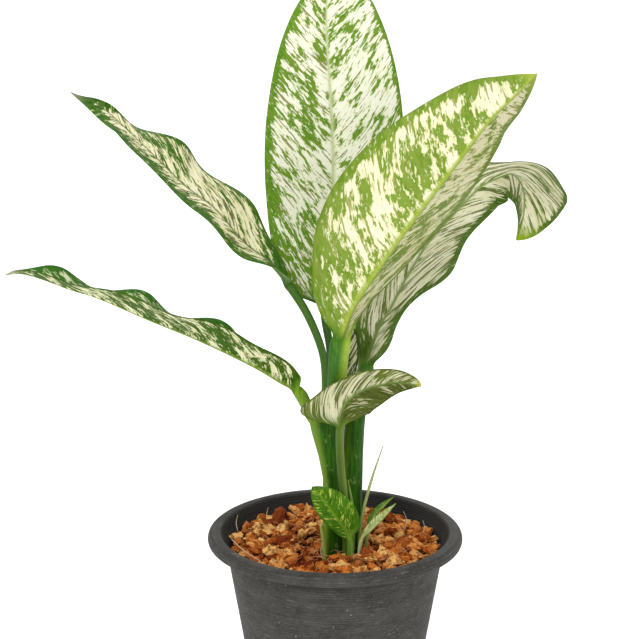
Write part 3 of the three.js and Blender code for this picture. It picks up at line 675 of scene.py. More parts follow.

# Looks of the leaves. seed: place in the noise that the markings come from. petiole: tones of one side and of
# the other, which paint light and shade on its sides, and of its streaks.
LOOKS = {
    "leaf_back_tall": dict(
        seed=3.1,
        upper=face(
            0.05, (255, 255, 236), (250, 250, 222), (190, 206, 130), (84, 136, 24), (118, 154, 46),
            (134, 136, 66), (206, 216, 160),
        ),
        under=face(
            0.02, (236, 238, 204), (226, 230, 184), (190, 204, 144), (112, 152, 62), (100, 142, 52),
            (146, 160, 92), (150, 178, 86),
        ),
        margin=(7, 4), lean=(0.01, -0.04), foot=(0.15, 0.12), foot_reach=0.3,
        petiole=((40, 84, 24), (74, 118, 40), (28, 66, 18)),
    ),
    "leaf_front_right": dict(
        seed=8.4,
        upper=face(
            0.0, (236, 234, 200), (222, 222, 176), (176, 190, 116), (74, 122, 30), (96, 138, 44),
            (112, 122, 56), (160, 180, 90),
        ),
        under=face(
            0.055, (246, 243, 210), (236, 230, 188), (198, 204, 128), (104, 138, 34), (130, 156, 58),
            (150, 158, 78), (158, 180, 60), tip=(170, 188, 70), patch=(11, 19),
        ),
        margin=(12, 8), lean=(0.01, 0.0), dull_and_shade=(0.7, 0), foot=(0.02, 0.14), foot_reach=0.5,
        petiole=((156, 182, 56), (52, 104, 18), (96, 142, 34)),
    ),
    "leaf_right_drooping": dict(
        seed=13.7,
        upper=face(
            0.17, (248, 246, 216), (232, 228, 186), (160, 170, 96), (68, 106, 24), (98, 126, 42),
            (98, 112, 44), (130, 152, 76), tip=(140, 172, 20), patch=(7, 16), streak=(2.9, 14),
            streak_cut=0.055,
        ),
        under=face(
            0.04, (208, 209, 166), (192, 196, 144), (150, 160, 92), (70, 108, 22), (98, 130, 42),
            (84, 98, 32), (126, 158, 52), patch=(7, 15), streak=(2.4, 11), streak_cut=0.065,
        ),
        margin=(6, 12), lean=(0.04, 0.0), foot=(0.45, 0.1), hang_shade=(0.62, 0.5),
        petiole=((170, 188, 112), (72, 122, 30), (110, 148, 60)),
    ),
    "leaf_left_upper": dict(
        seed=21.3,
        upper=face(
            0.11, (255, 250, 214), (244, 238, 190), (176, 184, 112), (38, 98, 2), (82, 122, 40),
            (92, 98, 44), (104, 124, 66), tip=(134, 134, 104), patch=(7, 14), streak=(2.6, 9),
            streak_cut=0.07, gloss=0.04,
        ),
        under=face(
            0.03, (230, 228, 192), (214, 212, 170), (178, 188, 132), (84, 126, 48), (104, 140, 62),
            (120, 134, 76), (128, 156, 70), gloss=0.04,
        ),
        margin=(20, 5), lean=(0.0, 0.02), foot=(0.6, 0.6),
        petiole=((76, 116, 40), (40, 86, 22), (104, 140, 56)),
    ),
    "leaf_left_lower": dict(
        seed=29.9,
        upper=face(
            -0.065, (228, 232, 194), (210, 218, 166), (146, 166, 98), (32, 98, 8), (60, 116, 22),
            (72, 108, 28), (112, 140, 56), tip=(170, 170, 142), patch=(9, 15), streak_cut=0.14, gloss=0.03,
        ),
        under=face(
            -0.03, (236, 236, 194), (208, 212, 158), (126, 142, 76), (44, 84, 6), (70, 104, 20),
            (76, 90, 20), (124, 154, 52), tip=(180, 178, 150), patch=(8, 17), streak_cut=0.07, gloss=0.03,
        ),
        margin=(3, 5), petiole=((122, 160, 40), (50, 98, 22), (80, 122, 30)),
    ),
    "leaf_front_small": dict(
        seed=37.2,
        upper=face(
            0.04, (232, 230, 194), (214, 212, 166), (176, 184, 128), (62, 102, 30), (86, 120, 46),
            (100, 112, 56), (140, 158, 88),
        ),
        under=face(
            0.045, (218, 216, 182), (196, 196, 152), (146, 154, 96), (74, 90, 20), (102, 116, 46),
            (72, 82, 16), (106, 128, 58), tip=(200, 190, 70), patch=(6, 11), streak=(2.3, 11),
            streak_cut=0.03, wavy=1.2,
        ),
        margin=(1.5, 1.5), lean=(0.12, -0.04), dull_and_shade=(0.75, 0.05),
        petiole=((104, 128, 44), (76, 104, 28), (62, 90, 26)),
    ),
    "leaf_back_hidden": dict(
        seed=41.8,
        upper=face(
            0.03, (232, 226, 188), (206, 202, 158), (140, 146, 88), (44, 72, 20), (62, 88, 30),
            (58, 72, 28), (118, 142, 70), patch=(4.5, 16), streak=(1.8, 14), streak_cut=-0.01,
        ),
        under=face(
            0.02, (214, 212, 170), (196, 196, 150), (150, 160, 104), (82, 112, 46), (96, 126, 56),
            (96, 112, 58), (126, 150, 72),
        ),
        margin=(1, 1), petiole=((56, 98, 30), (88, 126, 46), (32, 68, 20)),
    ),
    "leaf_offset": dict(
        seed=47.5,
        upper=face(
            -0.06, (196, 212, 96), (164, 190, 64), (116, 158, 40), (52, 100, 10), (78, 130, 20),
            (44, 88, 8), (112, 152, 36), patch=(3.4, 7), streak=(1.8, 8), streak_cut=0.0, broad=0.1,
            wavy=1.5,
        ),
        under=face(
            -0.12, (178, 196, 112), (160, 182, 92), (136, 166, 74), (100, 138, 52), (114, 150, 62),
            (92, 128, 46), (132, 162, 66),
        ),
        margin=(1, 1), petiole=((92, 136, 42), (116, 156, 56), (62, 104, 28)),
    ),
    "leaf_narrow_upper": dict(
        seed=53.3,
        upper=face(
            0.0, (186, 196, 124), (164, 182, 100), (124, 154, 66), (78, 118, 36), (94, 132, 46),
            (66, 104, 30), (122, 152, 62), patch=(3, 9), streak=(1.4, 8),
        ),
        margin=(0.5, 0.5), petiole=((96, 134, 50), (150, 170, 90), (72, 108, 36)),
    ),
    "leaf_narrow_lower": dict(
        seed=59.9,
        upper=face(
            0.06, (214, 216, 160), (196, 204, 140), (166, 182, 110), (116, 148, 64), (136, 162, 80),
            (110, 138, 60), (180, 192, 120), patch=(3, 9), streak=(1.4, 8),
        ),
        margin=(0.5, 0.5), petiole=((176, 188, 118), (196, 202, 140), (130, 156, 78)),
    ),
}


def greenness(info, look):
    """How much more likely green is at each point: on the greener side, at the margins and by the foot."""
    width = np.asarray(look["margin"], float)[info["right"]]
    lean = np.asarray(look["lean"], float)[info["right"]]
    ragged = 0.3 * (1 - smooth_step(info["edge"] / width))
    solid = 0.8 * (1 - smooth_step(info["edge"] / (0.4 * width)))
    foot_green = np.asarray(look["foot"], float)[info["right"]]
    foot = foot_green * (1 - smooth_step(info["t"] / look["foot_reach"]))
    return lean + ragged + solid + foot


def dull_and_shade_amount(info, look):
    """How far each point is darkened: on one side, partly to a duller tone and partly by painted shade,
    and from a share of the blade's length to its tip, by painted shade.
    """
    side = np.asarray(look["dull_and_shade"], float)[info["right"]]
    start, amount = look["hang_shade"]
    return np.clip(side + amount * smooth_step((info["t"] - start) / 0.1), 0, 1)


def make_leaf(leaf):
    name = leaf["name"]
    look = {**USUAL_LOOK, **LOOKS[name]}
    steps = WIDE_STEPS if max(leaf["width"]) > WIDE_LEAF else NARROW_STEPS
    points, info, petiole_rows = leaf_surface({**USUAL_LEAF, **leaf}, *steps)
    rows, columns = points.shape[:2]
    vein = np.stack([info["vein"], info["out"], info["right"] * 9.0 + look["seed"]], -1).reshape(-1, 3)
    attributes = dict(
        vein=vein,
        green=greenness(info, look).ravel(),
        rib=(info["rib"] * 0.9).ravel(),
        tip=smooth_step((info["t"] - 0.93) / 0.07).ravel(),
        # Which side of the petiole each point is on, for its painted light and shade
        flank=(0.5 + 0.5 * info["s"]).ravel(),
        dull_and_shade=dull_and_shade_amount(info, look).ravel(),
        foot=(1 - smooth_step((info["past_petiole"] - 1) / 8)).ravel(),
    )
    under = look.get("under", look["upper"])
    materials = [
        blade_material(name + "_upper", look["upper"], look["seed"], look["petiole"]),
        blade_material(name + "_under", under, look["seed"] + 0.4, look["petiole"]),
        petiole_material(name + "_petiole", look["petiole"]),
    ]
    faces = tube_faces(rows, columns)
    slots = leaf_slots(rows, columns, petiole_rows)
    add_piece(name + "_fine", points.reshape(-1, 3), faces, materials, [name], slots, attributes)


for each_leaf in LEAVES:
    make_leaf(each_leaf)


def ring_tube(points, radii, sides, steps):
    """Rings of a round tube along a smooth curve, whose radius follows evenly spaced keys."""
    path = Path(points)
    distance = np.linspace(0, path.total, steps + 1)
    centre = path.at(distance)
    tangent = path.tangent(distance)
    first = unit(np.cross([0.0, 1.0, 0.0], tangent))
    second = np.cross(tangent, first)
    angle = turns(sides)[:, None]
    radius = along(radii, distance / path.total)[:, None, None]
    return centre[:, None] + radius * (first[:, None] * np.cos(angle) + second[:, None] * np.sin(angle))


def shoot_material(name, low, high, dark):
    shader = Shader(name, specular=0.2)
    streak = shader.noise(shader.place(), (1200, 1200, 60))
    colour = shader.mix(shader.attribute("rise"), low, high)
    colour = shader.lay(colour, dark, shader.step(streak, 0.5, 0.62), 0.5)
    return shader.finish(colour, shader.bump(streak, 0.0002))


# Thin shoots: path, radius at evenly spaced places, then the tones of the foot, the tip and the streaks
SHOOTS = [
    ("spear_tall", [(15, -4, 108), (16, -3, 134), (22, 0, 160), (30, 4, 184)], (1.3, 1.1, 0.9, 0.3),
     ((140, 168, 70), (188, 192, 132), (110, 130, 56))),
    ("spear_short", [(10.5, -3, 106), (11, -4, 141), (8, -8, 165)], (1.8, 1.6, 1.1, 0.3),
     ((96, 142, 36), (150, 176, 76), (66, 112, 24))),
    ("stub_left", [(-6, -11, 108), (-7.5, -12.5, 127), (-9, -14, 138)], (1.5, 1.4, 1.2, 0.8),
     ((120, 152, 50), (184, 194, 110), (90, 124, 40))),
]
SHOOT_SIDES = 14
SHOOT_STEPS = 40

for shoot_name, shoot_path, shoot_radii, shoot_tones in SHOOTS:
    tube = ring_tube(shoot_path, shoot_radii, SHOOT_SIDES, SHOOT_STEPS)
    rise = np.repeat(np.linspace(0, 1, tube.shape[0]), tube.shape[1])
    add_piece(
        shoot_name + "_fine", tube.reshape(-1, 3), tube_faces(*tube.shape[:2]),
        [shoot_material(shoot_name, *shoot_tones)], [shoot_name], None, dict(rise=rise),
    )

# Stalks: centre x, y, z, then half-widths along X and Y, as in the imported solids
STALKS = {
    "stalk_left": [
        (-1.7, -2, 96, 5.9, 5.5), (-1.7, -1.5, 125, 6.2, 5.8), (-1.7, -0.5, 150, 6.3, 6.2),
        (-1.7, 0.5, 164, 6.4, 7.5), (-3.3, 1.5, 178, 7.6, 9.4), (-5.2, 2.5, 192, 9.8, 12),
        (-6.3, 3.5, 208, 12, 14.5),
    ],
    "stalk_right": [
        (10.4, 6, 98, 6.7, 5.2), (10.4, 6, 125, 7, 5.4), (10.4, 7, 150, 6.9, 5.6), (10.8, 9, 176, 7, 7.6),
        (11.9, 11, 192, 6.6, 8.6), (13.2, 13.5, 212, 7, 9),
    ],
}
STALK_SIDES = 96
STALK_STEPS = 90

# Directions round a stalk in degrees, from the right towards the back: the foot of the first sheath's edge,
# the pale flank, and the specks
SHEATH_EDGE = 250
PALE_FLANK = 200
SPECK_FLANK = 235

# In radians: how far the sheaths' edges wind round the stalk on their way up, and how far apart they are
SHEATH_TWIST = 0.9
SECOND_EDGE = 2.6

# The inside of a stalk's top: its rings, its depth in millimetres, its width as a share of the outside's, and
# how much of that share it loses on its way down
LIP_RINGS = 8
LIP_DEPTH = 9
LIP_SHARE = 0.93
LIP_NARROWING = 0.25

# The wing of a sheath that stands up at the front: its direction in degrees and its height in millimetres,
# then how far it spreads round the stalk, in radians
WINGS = {"stalk_left": (235, 3), "stalk_right": (262, 10)}
WING_SPREAD = 0.5


def stalk_material(name):
    shader = Shader(name, roughness=0.55, specular=0.12)
    place = shader.place()
    streak = shader.noise(place, (700, 700, 30), detail=3, rough=0.6)
    mottle = shader.noise(place, (260, 260, 160), detail=3, rough=0.6)
    colour = shader.mix(shader.step(streak, 0.4, 0.62), (17, 57, 2), (48, 96, 9))
    colour = shader.mix(shader.attribute("flank"), colour, (132, 164, 34))
    colour = shader.lay(colour, (140, 160, 96), shader.step(mottle, 0.58, 0.67), shader.attribute("pale"))
    colour = shader.lay(colour, (56, 108, 10), shader.attribute("rise"), 0.35)
    colour = shader.mix(shader.attribute("lip"), colour, (168, 186, 104))
    return shader.finish(colour, shader.bump(streak, 0.0004))


def make_stalk(name, sections):
    """Sheathed stalk: overlapping leaf sheaths that open as a thin lip round the petioles."""
    keys = np.asarray(sections, float)
    z = np.linspace(keys[0, 2], keys[-1, 2], STALK_STEPS + 1)
    centre_x, centre_y, _, half_x, half_y = columns_at(z, keys[:, 2], keys).T[..., None]
    angle = turns(STALK_SIDES)
    rise = (z - z[0]) / (z[-1] - z[0])
    edge_turn = np.radians(SHEATH_EDGE) + SHEATH_TWIST * rise[:, None]
    lap = (angle - edge_turn) % (2 * np.pi)
    sheath = 0.05 * np.exp(-lap * 1.2) - 0.03
    second_lap = (edge_turn + SECOND_EDGE - angle) % (2 * np.pi)
    sheath += 0.04 * np.exp(-second_lap * 1.6) - 0.02
    grow = 1 + sheath
    x = centre_x + half_x * grow * np.cos(angle)
    y = centre_y + half_y * grow * np.sin(angle)
    lip_wave = 1.2 * np.sin(angle * 2 + 0.6) - 1.4
    wing_turn, wing_height = WINGS[name]
    wing = wing_height * np.exp(-((angle - math.radians(wing_turn)) / WING_SPREAD) ** 2)
    height = z[:, None] + smooth_step((rise[:, None] - 0.8) / 0.2) * (lip_wave + wing)
    outer = np.stack([x, y, height], -1)

    middle = np.array([centre_x[-1, 0], centre_y[-1, 0]])
    inner = []
    for share in np.linspace(0, 1, LIP_RINGS + 1)[1:]:
        ring = middle + (outer[-1, :, :2] - middle) * (LIP_SHARE - LIP_NARROWING * share)
        inner.append(np.column_stack([ring, outer[-1, :, 2] - LIP_DEPTH * share]))
    points = np.concatenate([outer, np.asarray(inner)], 0)
    levels = np.concatenate([rise, np.ones(LIP_RINGS)])
    lip = np.concatenate([smooth_step((rise - 0.975) / 0.025), 0.8 - 0.1 * np.arange(LIP_RINGS)])
    around = np.tile(angle, len(points))
    attributes = dict(
        rise=np.repeat(levels, STALK_SIDES),
        flank=0.75 * smooth_step((np.cos(around - np.radians(PALE_FLANK)) - 0.55) / 0.4),
        pale=0.5 * smooth_step(np.cos(around - np.radians(SPECK_FLANK)) / 0.6),
        lip=np.repeat(np.clip(lip, 0, 1), STALK_SIDES),
    )
    add_piece(
        name + "_fine", points.reshape(-1, 3), tube_faces(len(points), STALK_SIDES),
        [stalk_material(name + "_skin")], [name], None, attributes,
    )


for stalk_name, stalk_sections in STALKS.items():
    make_stalk(stalk_name, stalk_sections)

# Pot: outline radii and heights in millimetres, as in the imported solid
POT_HEIGHT = 130
POT_BASE_RADIUS = 48
POT_WALL = 1.7
POT_FLOOR = 3
SHOULDER_RADIUS = 68
SHOULDER_Z = 118
RIM_OUTER = 80
RIM_INNER = 70.5
RIM_LIP = 6
CORNER_RADIUS = 1.2
POT_SIDES = 192

# Rings past the rim's highest one that are still left out of the painted shade on the inside
RIM_RINGS = 4

# In metres: spacing of the fine ridges round the wall, and heights between which the painted shadow under the
# rim sets in and fades out
RIDGE_SPACING = 0.0017
RIM_SHADOW_LOW = (0.1155, 0.1185)
RIM_SHADOW_HIGH = (0.1225, 0.1195)


def wall_radius(z):
    return POT_BASE_RADIUS + (SHOULDER_RADIUS - POT_BASE_RADIUS) * z / SHOULDER_Z


def rounded(profile, radius, steps=5):
    """The profile with its corners rounded off."""
    points = [np.asarray(p, float) for p in profile]
    result = [points[0]]
    for a, b, c in zip(points[:-2], points[1:-1], points[2:]):
        reach = min(radius, np.linalg.norm(a - b) * 0.45, np.linalg.norm(c - b) * 0.45)
        start, end = b + unit(a - b) * reach, b + unit(c - b) * reach
        for u in np.linspace(0, 1, steps):
            result.append((1 - u) ** 2 * start + 2 * u * (1 - u) * b + u * u * end)
    result.append(points[-1])
    return result


def pot_profile():
    lip_foot = POT_HEIGHT - RIM_LIP
    outside = [(0, 0), (POT_BASE_RADIUS - 2, 0), (POT_BASE_RADIUS + 0.3, 2)]
    outside += [(wall_radius(z), z) for z in range(8, SHOULDER_Z, 6)]
    rest = [
        (SHOULDER_RADIUS, SHOULDER_Z),
        (SHOULDER_RADIUS + 2, SHOULDER_Z + 3),
        (RIM_OUTER - 3, lip_foot - 2),
        (RIM_OUTER - 0.6, lip_foot - 0.8),
        (RIM_OUTER, lip_foot + 1.5),
        (RIM_OUTER - 0.8, POT_HEIGHT - 2),
        (RIM_OUTER - 3.2, POT_HEIGHT - 0.4),
        (RIM_INNER + 3, POT_HEIGHT),
        (RIM_INNER + 0.6, POT_HEIGHT - 1),
        (RIM_INNER, POT_HEIGHT - 3),
        (RIM_INNER - 1.2, SHOULDER_Z + 4),
        (SHOULDER_RADIUS - POT_WALL, SHOULDER_Z - 1),
        (wall_radius(POT_FLOOR) - POT_WALL, POT_FLOOR),
        (0, POT_FLOOR),
    ]
    return rounded(outside + rest, CORNER_RADIUS)


def pot_material():
    shader = Shader("pot_plastic", specular=0.16)
    place = shader.place()
    height = shader.split(place, 2)
    ridge = shader.wave(height, RIDGE_SPACING)
    patchy = shader.noise(place, (45, 45, 70), detail=4, rough=0.7)
    uneven = shader.noise(place, (14, 14, 260))
    fine = shader.noise(place, (500, 500, 900), detail=3, rough=0.7)
    scratch = shader.noise(place, (110, 110, 1100), rough=0.6)
    speck = shader.noise(place, (520, 520, 520), detail=1)
    rim_shadow = shader.math("MULTIPLY", shader.step(height, *RIM_SHADOW_LOW), shader.step(height, *RIM_SHADOW_HIGH))
    ridge_highlight = shader.math("MULTIPLY", shader.step(ridge, -0.2, 1.0), shader.step(uneven, 0.35, 0.65))
    colour = shader.mix(shader.step(patchy, 0.35, 0.7), (48, 47, 44), (72, 71, 67))
    colour = shader.lay(colour, (88, 87, 82), shader.step(fine, 0.45, 0.7), 0.5)
    # Painted highlight on the crests of the fine ridges, in patches
    colour = shader.lay(colour, (96, 95, 90), ridge_highlight, 0.4)
    colour = shader.lay(colour, (124, 122, 116), shader.step(scratch, 0.63, 0.7), 0.4)
    colour = shader.lay(colour, (180, 180, 168), shader.step(speck, 0.76, 0.8), 0.6)
    # Painted shadow: a dark band under the rim's overhang
    colour = shader.lay(colour, (34, 34, 32), rim_shadow, 0.55)
    # Painted shade on the inner wall of the pot
    colour = shader.lay(colour, (40, 40, 40), shader.attribute("inside"), 0.75)
    shape = shader.total((ridge, 0.5), (fine, 0.5))
    roughness = shader.total((patchy, 0.2), (0.6, 1.0))
    return shader.finish(colour, shader.bump(shape, 0.0004), roughness)


def make_pot():
    """The pot's outline turned round the Z axis, closed by a fan under its base and one on its floor."""
    rings = pot_profile()[1:-1]
    count = len(rings)
    points = lathe(rings, POT_SIDES) + [(0, 0, 0), (0, 0, POT_FLOOR)]
    base_middle = count * POT_SIDES
    floor_middle = base_middle + 1
    last = base_middle - POT_SIDES
    faces = ring_quads(count, POT_SIDES)
    faces += [((j + 1) % POT_SIDES, j, base_middle) for j in range(POT_SIDES)]
    faces += [(last + j, last + (j + 1) % POT_SIDES, floor_middle) for j in range(POT_SIDES)]
    peak = max(range(count), key=lambda i: rings[i][1])
    # Rings inside the rim take the painted shade of the inside
    inside = np.repeat([0.0 if i <= peak + RIM_RINGS else 1.0 for i in range(count)], POT_SIDES)
    attributes = dict(inside=np.concatenate([inside, [0.0, 1.0]]))
    return add_piece("pot_fine", points, faces, [pot_material()], ["pot"], None, attributes)


pot = make_pot()

# Drain holes cut through the floor of the pot
DRAIN_HOLES = 6
DRAIN_RADIUS = 4.5
DRAIN_CIRCLE = 29
DRAIN_SIDES = 32
DRILL_REACH = 6


def cut_drains():
    points, faces = [], []
    for i in range(DRAIN_HOLES):
        turn = 2 * math.pi * (i + 0.5) / DRAIN_HOLES
        x, y = polar(DRAIN_CIRCLE, turn)
        faces += tube_faces(2, DRAIN_SIDES, len(points))
        drill_rings = [(DRAIN_RADIUS, -DRILL_REACH), (DRAIN_RADIUS, DRILL_REACH)]
        points += [((x + dx) * MM, (y + dy) * MM, z * MM) for dx, dy, z in lathe(drill_rings, DRAIN_SIDES)]
    drill = mesh_object("drill", points, faces)
    cut = pot.modifiers.new("drains", "BOOLEAN")
    cut.operation = "DIFFERENCE"
    cut.solver = "EXACT"
    cut.object = drill
    bpy.context.view_layer.update()
    evaluated = pot.evaluated_get(bpy.context.evaluated_depsgraph_get())
    cut_mesh = bpy.data.meshes.new_from_object(evaluated)
    pot.modifiers.clear()
    pot.data = cut_mesh
    bpy.data.objects.remove(drill)


cut_drains()

# Growing medium: a dark bed, whose colour is painted shade in the gaps, with loose husk chips on it, lower in
# its middle and in a dip beside the stalks
MEDIUM_TOP = 118.5
HOLLOW_DEPTH = 5
HOLLOW_RADIUS = 34
DIP_DEPTH = 6
BED_DEPTH = 3.5
BED_RADII = (60, 52, 44, 34, 26, 18, 10, 4)
BED_SIDES = 128
ROOM = 0.6


def medium_height(radius):
    return float(MEDIUM_TOP - HOLLOW_DEPTH * (1 - smooth_step(radius / HOLLOW_RADIUS)))


def dip(x, y):
    """How far inside the dip beside the stalks a place is, from 0 to 1. Chips there get painted shade."""
    return math.exp(-((x + 13) / 10) ** 2 - ((y + 20) / 14) ** 2)


def inner_radius(z):
    """Inside radius of the pot at a height near its shoulder."""
    low = (SHOULDER_Z - 1, SHOULDER_RADIUS - POT_WALL)
    high = (SHOULDER_Z + 4, RIM_INNER - 1.2)
    if z < low[0]:
        return wall_radius(z) - POT_WALL
    return float(np.interp(z, (low[0], high[0], POT_HEIGHT - 3), (low[1], high[1], RIM_INNER)))


def husk_material():
    shader = Shader("husk", roughness=0.9, specular=0.1)
    tone = shader.attribute("tone")
    grain = shader.attribute("grain", "Vector")
    fibre = shader.noise(grain, (2200, 420, 420), detail=3, rough=0.65)
    mottle = shader.noise(shader.place(), (300, 300, 300), detail=3, rough=0.6)
    # tone: each chip's lightness, lowered as painted shade for chips that lie low and in the dip
    colour = shader.mix(shader.step(tone, 0.0, 0.5), (118, 38, 6), (222, 126, 46))
    colour = shader.mix(shader.step(tone, 0.5, 1.0), colour, (255, 202, 122))
    fibre_light = shader.total((tone, 0.4), (0.12, 1.0))
    colour = shader.lay(colour, (240, 176, 100), shader.step(fibre, 0.45, 0.65), fibre_light)
    colour = shader.lay(colour, (124, 46, 8), shader.step(mottle, 0.5, 0.62), 0.75)
    shape = shader.total((fibre, 0.7), (mottle, 0.5))
    return shader.finish(colour, shader.bump(shape, 0.0012, 0.9))


def bed_material():
    shader = Shader("bed", roughness=0.95, specular=0.05)
    clump = shader.noise(shader.place(), (300, 300, 300), detail=4, rough=0.7)
    # The bed's dark browns: painted shade in the gaps between the chips
    colour = shader.mix(shader.step(clump, 0.35, 0.7), (60, 18, 3), (110, 46, 10))
    return shader.finish(colour, shader.bump(clump, 0.002, 0.8))


def bed_piece():
    foot = POT_FLOOR + ROOM
    shoulder = SHOULDER_RADIUS - POT_WALL - ROOM - 0.3
    rings = [(wall_radius(foot) - POT_WALL - ROOM, foot), (shoulder, SHOULDER_Z - 1.5)]
    rings += [(r, medium_height(r) - BED_DEPTH) for r in BED_RADII]
    points = lathe(rings, BED_SIDES)
    points = [(x, y, z - DIP_DEPTH * dip(x, y) if z > foot else z) for x, y, z in points]
    faces = tube_faces(len(rings), BED_SIDES)
    return add_piece("husk_bed", points, faces, [bed_material()], ["growing_medium"])


bed_piece()


def icosphere():
    """Vertices and triangles of a ball of 320 faces."""
    ball = bmesh.new()
    bmesh.ops.create_icosphere(ball, subdivisions=3, radius=1)
    vertices = np.array([v.co[:] for v in ball.verts])
    faces = np.array([[v.index for v in f.verts] for f in ball.faces])
    ball.free()
    return vertices, faces


# What stands in the medium: centre x, y and radius
STANDING = [
    (-1.7, -1.5, 6.4), (10.4, 6, 7), (7, -9, 2.8), (9.5, -15.5, 2.4), (16, -13, 1.6), (20, -4.5, 1.4),
    (15.5, -3.5, 1.6), (11, -3.5, 2.2), (-7, -12, 1.9),
]

# Husk chips: the radius that they cover, their least distance from what stands there, and how far they tip
CHIP_SEED = 17
CHIP_COUNT = 780
CHIP_FIELD = 66.5
CHIP_CLEARANCE = 1.5
CHIP_LEAN = 0.55
LARGE_CHIP_LEAN = 0.3
CHIP_BATCHES = 3
GOLDEN_ANGLE = math.pi * (3 - math.sqrt(5))

# Kinds of husk chip: share of all chips, then the smallest and largest half-sizes
CHIP_KINDS = [
    (0.4, (3.6, 1.6, 1), (6.4, 3, 2)),
    (0.4, (2.6, 2.2, 1.7), (4.6, 3.8, 3)),
    (0.2, (4.6, 3.4, 2.2), (7, 5, 3.6)),
]

# Tones of the chips: share of all chips, then how light they are
CHIP_TONES = [(0.3, 0.1), (0.42, 0.5), (0.28, 0.85)]

# Single large chips: place, half-sizes and tone
LARGE_CHIPS = [
    ((-36, 38, 123), (8.5, 5, 6), 0.1),
    ((-30, 0, 120), (7.5, 6, 4.5), 0.0),
    ((36, 44, 122), (8, 4, 3), 0.15),
    ((-10, 52, 121), (6, 4, 4), 0.2),
]


def pick(draw, table):
    """One row of a table whose first column is each row's share."""
    level = draw.random()
    for row in table:
        level -= row[0]
        if level < 0:
            return row
    return table[-1]


def chipped(ball, draw):
    """The ball with flat faces struck off it at random, and its surface torn along the fibres."""
    points = np.sign(ball) * np.abs(ball) ** 0.75
    for _ in range(8):
        facing = unit(np.array([draw.gauss(0, 1) for _ in range(3)]))
        over = np.maximum(0, points @ facing - draw.uniform(0.45, 0.8))
        points = points - over[:, None] * facing
    shift = Vector([draw.uniform(0, 99) for _ in range(3)])
    torn = [
        1 + 0.3 * noise.noise(Vector((1.1 * x, 2.6 * y, 2.6 * z)) + shift)
        + 0.24 * noise.noise(Vector((2.2 * x, 7 * y, 7 * z)) + shift)
        for x, y, z in ball
    ]
    return points * np.array(torn)[:, None]


def chip_plan(draw):
    """Place, half-sizes, tone and lean of each chip: the large ones, then a spiral over the medium."""
    plan = [(place, sizes, tone, LARGE_CHIP_LEAN) for place, sizes, tone in LARGE_CHIPS]
    for number in range(CHIP_COUNT):
        radius = CHIP_FIELD * math.sqrt((number + 0.5) / CHIP_COUNT)
        turn = number * GOLDEN_ANGLE + draw.uniform(-0.3, 0.3)
        x, y = polar(radius, turn)
        _, low, high = pick(draw, CHIP_KINDS)
        sizes = np.array([draw.uniform(a, b) for a, b in zip(low, high)])
        near = min(math.hypot(x - sx, y - sy) - sr for sx, sy, sr in STANDING)
        if near < CHIP_CLEARANCE:
            continue
        sizes = np.minimum(sizes, near * 0.8 + 0.8)
        deep = dip(x, y)
        z = medium_height(radius) + draw.uniform(-3, 3) - DIP_DEPTH * deep
        # Chips that lie lower, and chips in the dip, get a darker tone: painted shade
        tone = pick(draw, CHIP_TONES)[1] + draw.gauss(0, 0.1) + 0.07 * (z - MEDIUM_TOP) - 0.6 * deep
        plan.append(((x, y, z), sizes, tone, CHIP_LEAN))
    return plan


def laid(local, place, lean, draw):
    """A chip's points turned at random, put in their place and kept inside the pot."""
    spin = Matrix.Rotation(draw.uniform(0, 2 * math.pi), 3, "Z")
    spin @= Matrix.Rotation(draw.gauss(0, lean), 3, "X") @ Matrix.Rotation(draw.gauss(0, lean), 3, "Y")
    turned = local @ np.array(spin).T
    x, y, z = place
    radius = math.hypot(x, y)
    room = inner_radius(z) - 0.5 - np.hypot(*turned[:, :2].T).max()
    if radius > room:
        x, y = x * room / radius, y * room / radius
    turned = turned + (x, y, z)
    reach = np.hypot(turned[:, 0], turned[:, 1])
    limit = np.array([inner_radius(level) - 0.4 for level in turned[:, 2]])
    turned[:, :2] *= np.minimum(1, limit / np.maximum(reach, 1e-6))[:, None]
    return turned


def chip_pieces():
    draw = random.Random(CHIP_SEED)
    ball, ball_faces = icosphere()
    plan = chip_plan(draw)
    for batch in range(CHIP_BATCHES):
        points, faces, tones, grains = [], [], [], []
        for number, (place, sizes, tone, lean) in enumerate(plan[batch::CHIP_BATCHES]):
            local = chipped(ball, draw) * sizes
            faces.append(ball_faces + len(points) * len(ball))
            points.append(laid(local, place, lean, draw))
            tones.append(np.full(len(ball), min(1, max(0, tone))))
            grains.append((local + number * 3.0) * MM)
        attributes = dict(tone=np.concatenate(tones), grain=np.concatenate(grains))
        add_piece(
            f"husk_chips_{batch + 1}", np.concatenate(points), np.concatenate(faces), [husk_material()],
            [], None, attributes, smooth=False,
        )


chip_pieces()

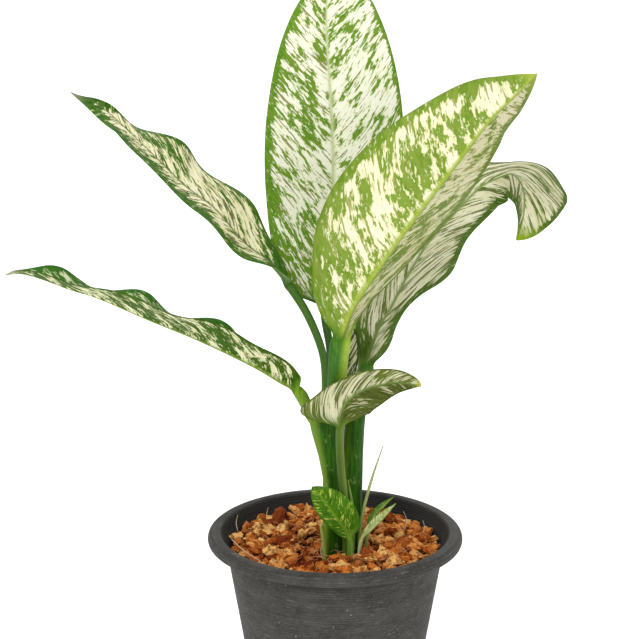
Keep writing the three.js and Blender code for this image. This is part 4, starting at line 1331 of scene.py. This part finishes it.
# Loose coir strands over this radius, pale root hairs that stand up, and two straws
STRAND_COUNT = 200
STRAND_FIELD = 62
STRAND_SIDES = 5
STRAND_STEPS = 14
ROOT_HAIRS = [
    [(45, 26, 119), (46, 27, 126), (44, 26, 132)], [(56, 16, 119), (57, 17, 125), (56, 17, 129)],
    [(-62, 20, 121), (-63, 21, 126), (-62, 22, 131)], [(-44, 38, 119), (-44, 39, 125), (-43, 39, 130)],
    [(-8, -20, 118), (-9, -21, 123), (-8, -22, 129)],
]
STRAWS = [
    [(-65, -2, 124), (-57, -22, 124.5), (-43, -44, 124)],
    [(34, -56, 122.5), (41, -51, 123.5), (47, -46, 123)],
]


def fibre_material():
    shader = Shader("fibre", roughness=0.8, specular=0.2)
    vary = shader.noise(shader.place(), (400, 400, 400))
    colour = shader.mix(shader.attribute("tone"), (176, 88, 24), (244, 224, 184))
    return shader.finish(shader.lay(colour, (190, 130, 70), vary, 0.3))


def strand_path(draw):
    """A short bent curve that lies on the chips at a random place."""
    radius = STRAND_FIELD * math.sqrt(draw.random())
    turn = draw.uniform(0, 2 * math.pi)
    x, y = polar(radius, turn)
    z = medium_height(radius) + draw.uniform(2.2, 4.5)
    heading = draw.uniform(0, 2 * math.pi)
    length = draw.uniform(2.5, 6)
    bend = draw.uniform(-1, 1)
    path = []
    for u in (-1, -0.3, 0.4, 1):
        px = x + length * u * math.cos(heading + bend * u * 0.5)
        py = y + length * u * math.sin(heading + bend * u * 0.5)
        pull = min(1, (inner_radius(z) - 1) / max(1e-6, math.hypot(px, py)))
        path.append((px * pull, py * pull, z + draw.uniform(-0.8, 0.8)))
    return path


def fibres():
    """All strands, root hairs and straws as one piece of thin tubes."""
    draw = random.Random(CHIP_SEED + 5)
    strands = []
    for _ in range(STRAND_COUNT):
        strands.append((strand_path(draw), draw.uniform(0.12, 0.26), draw.uniform(0, 0.35)))
    strands += [(path, 0.25, 1.0) for path in ROOT_HAIRS] + [(path, 0.32, 0.75) for path in STRAWS]
    rings = STRAND_STEPS + 1
    points, faces, tones = [], [], []
    for number, (path, radius, tone) in enumerate(strands):
        tube = ring_tube(path, (radius, radius, radius * 0.5), STRAND_SIDES, STRAND_STEPS)
        points.append(tube.reshape(-1, 3))
        faces += tube_faces(rings, STRAND_SIDES, number * rings * STRAND_SIDES)
        tones.append(np.full(rings * STRAND_SIDES, tone))
    add_piece(
        "husk_fibres", np.concatenate(points), faces, [fibre_material()], [], None,
        dict(tone=np.concatenate(tones)),
    )


fibres()
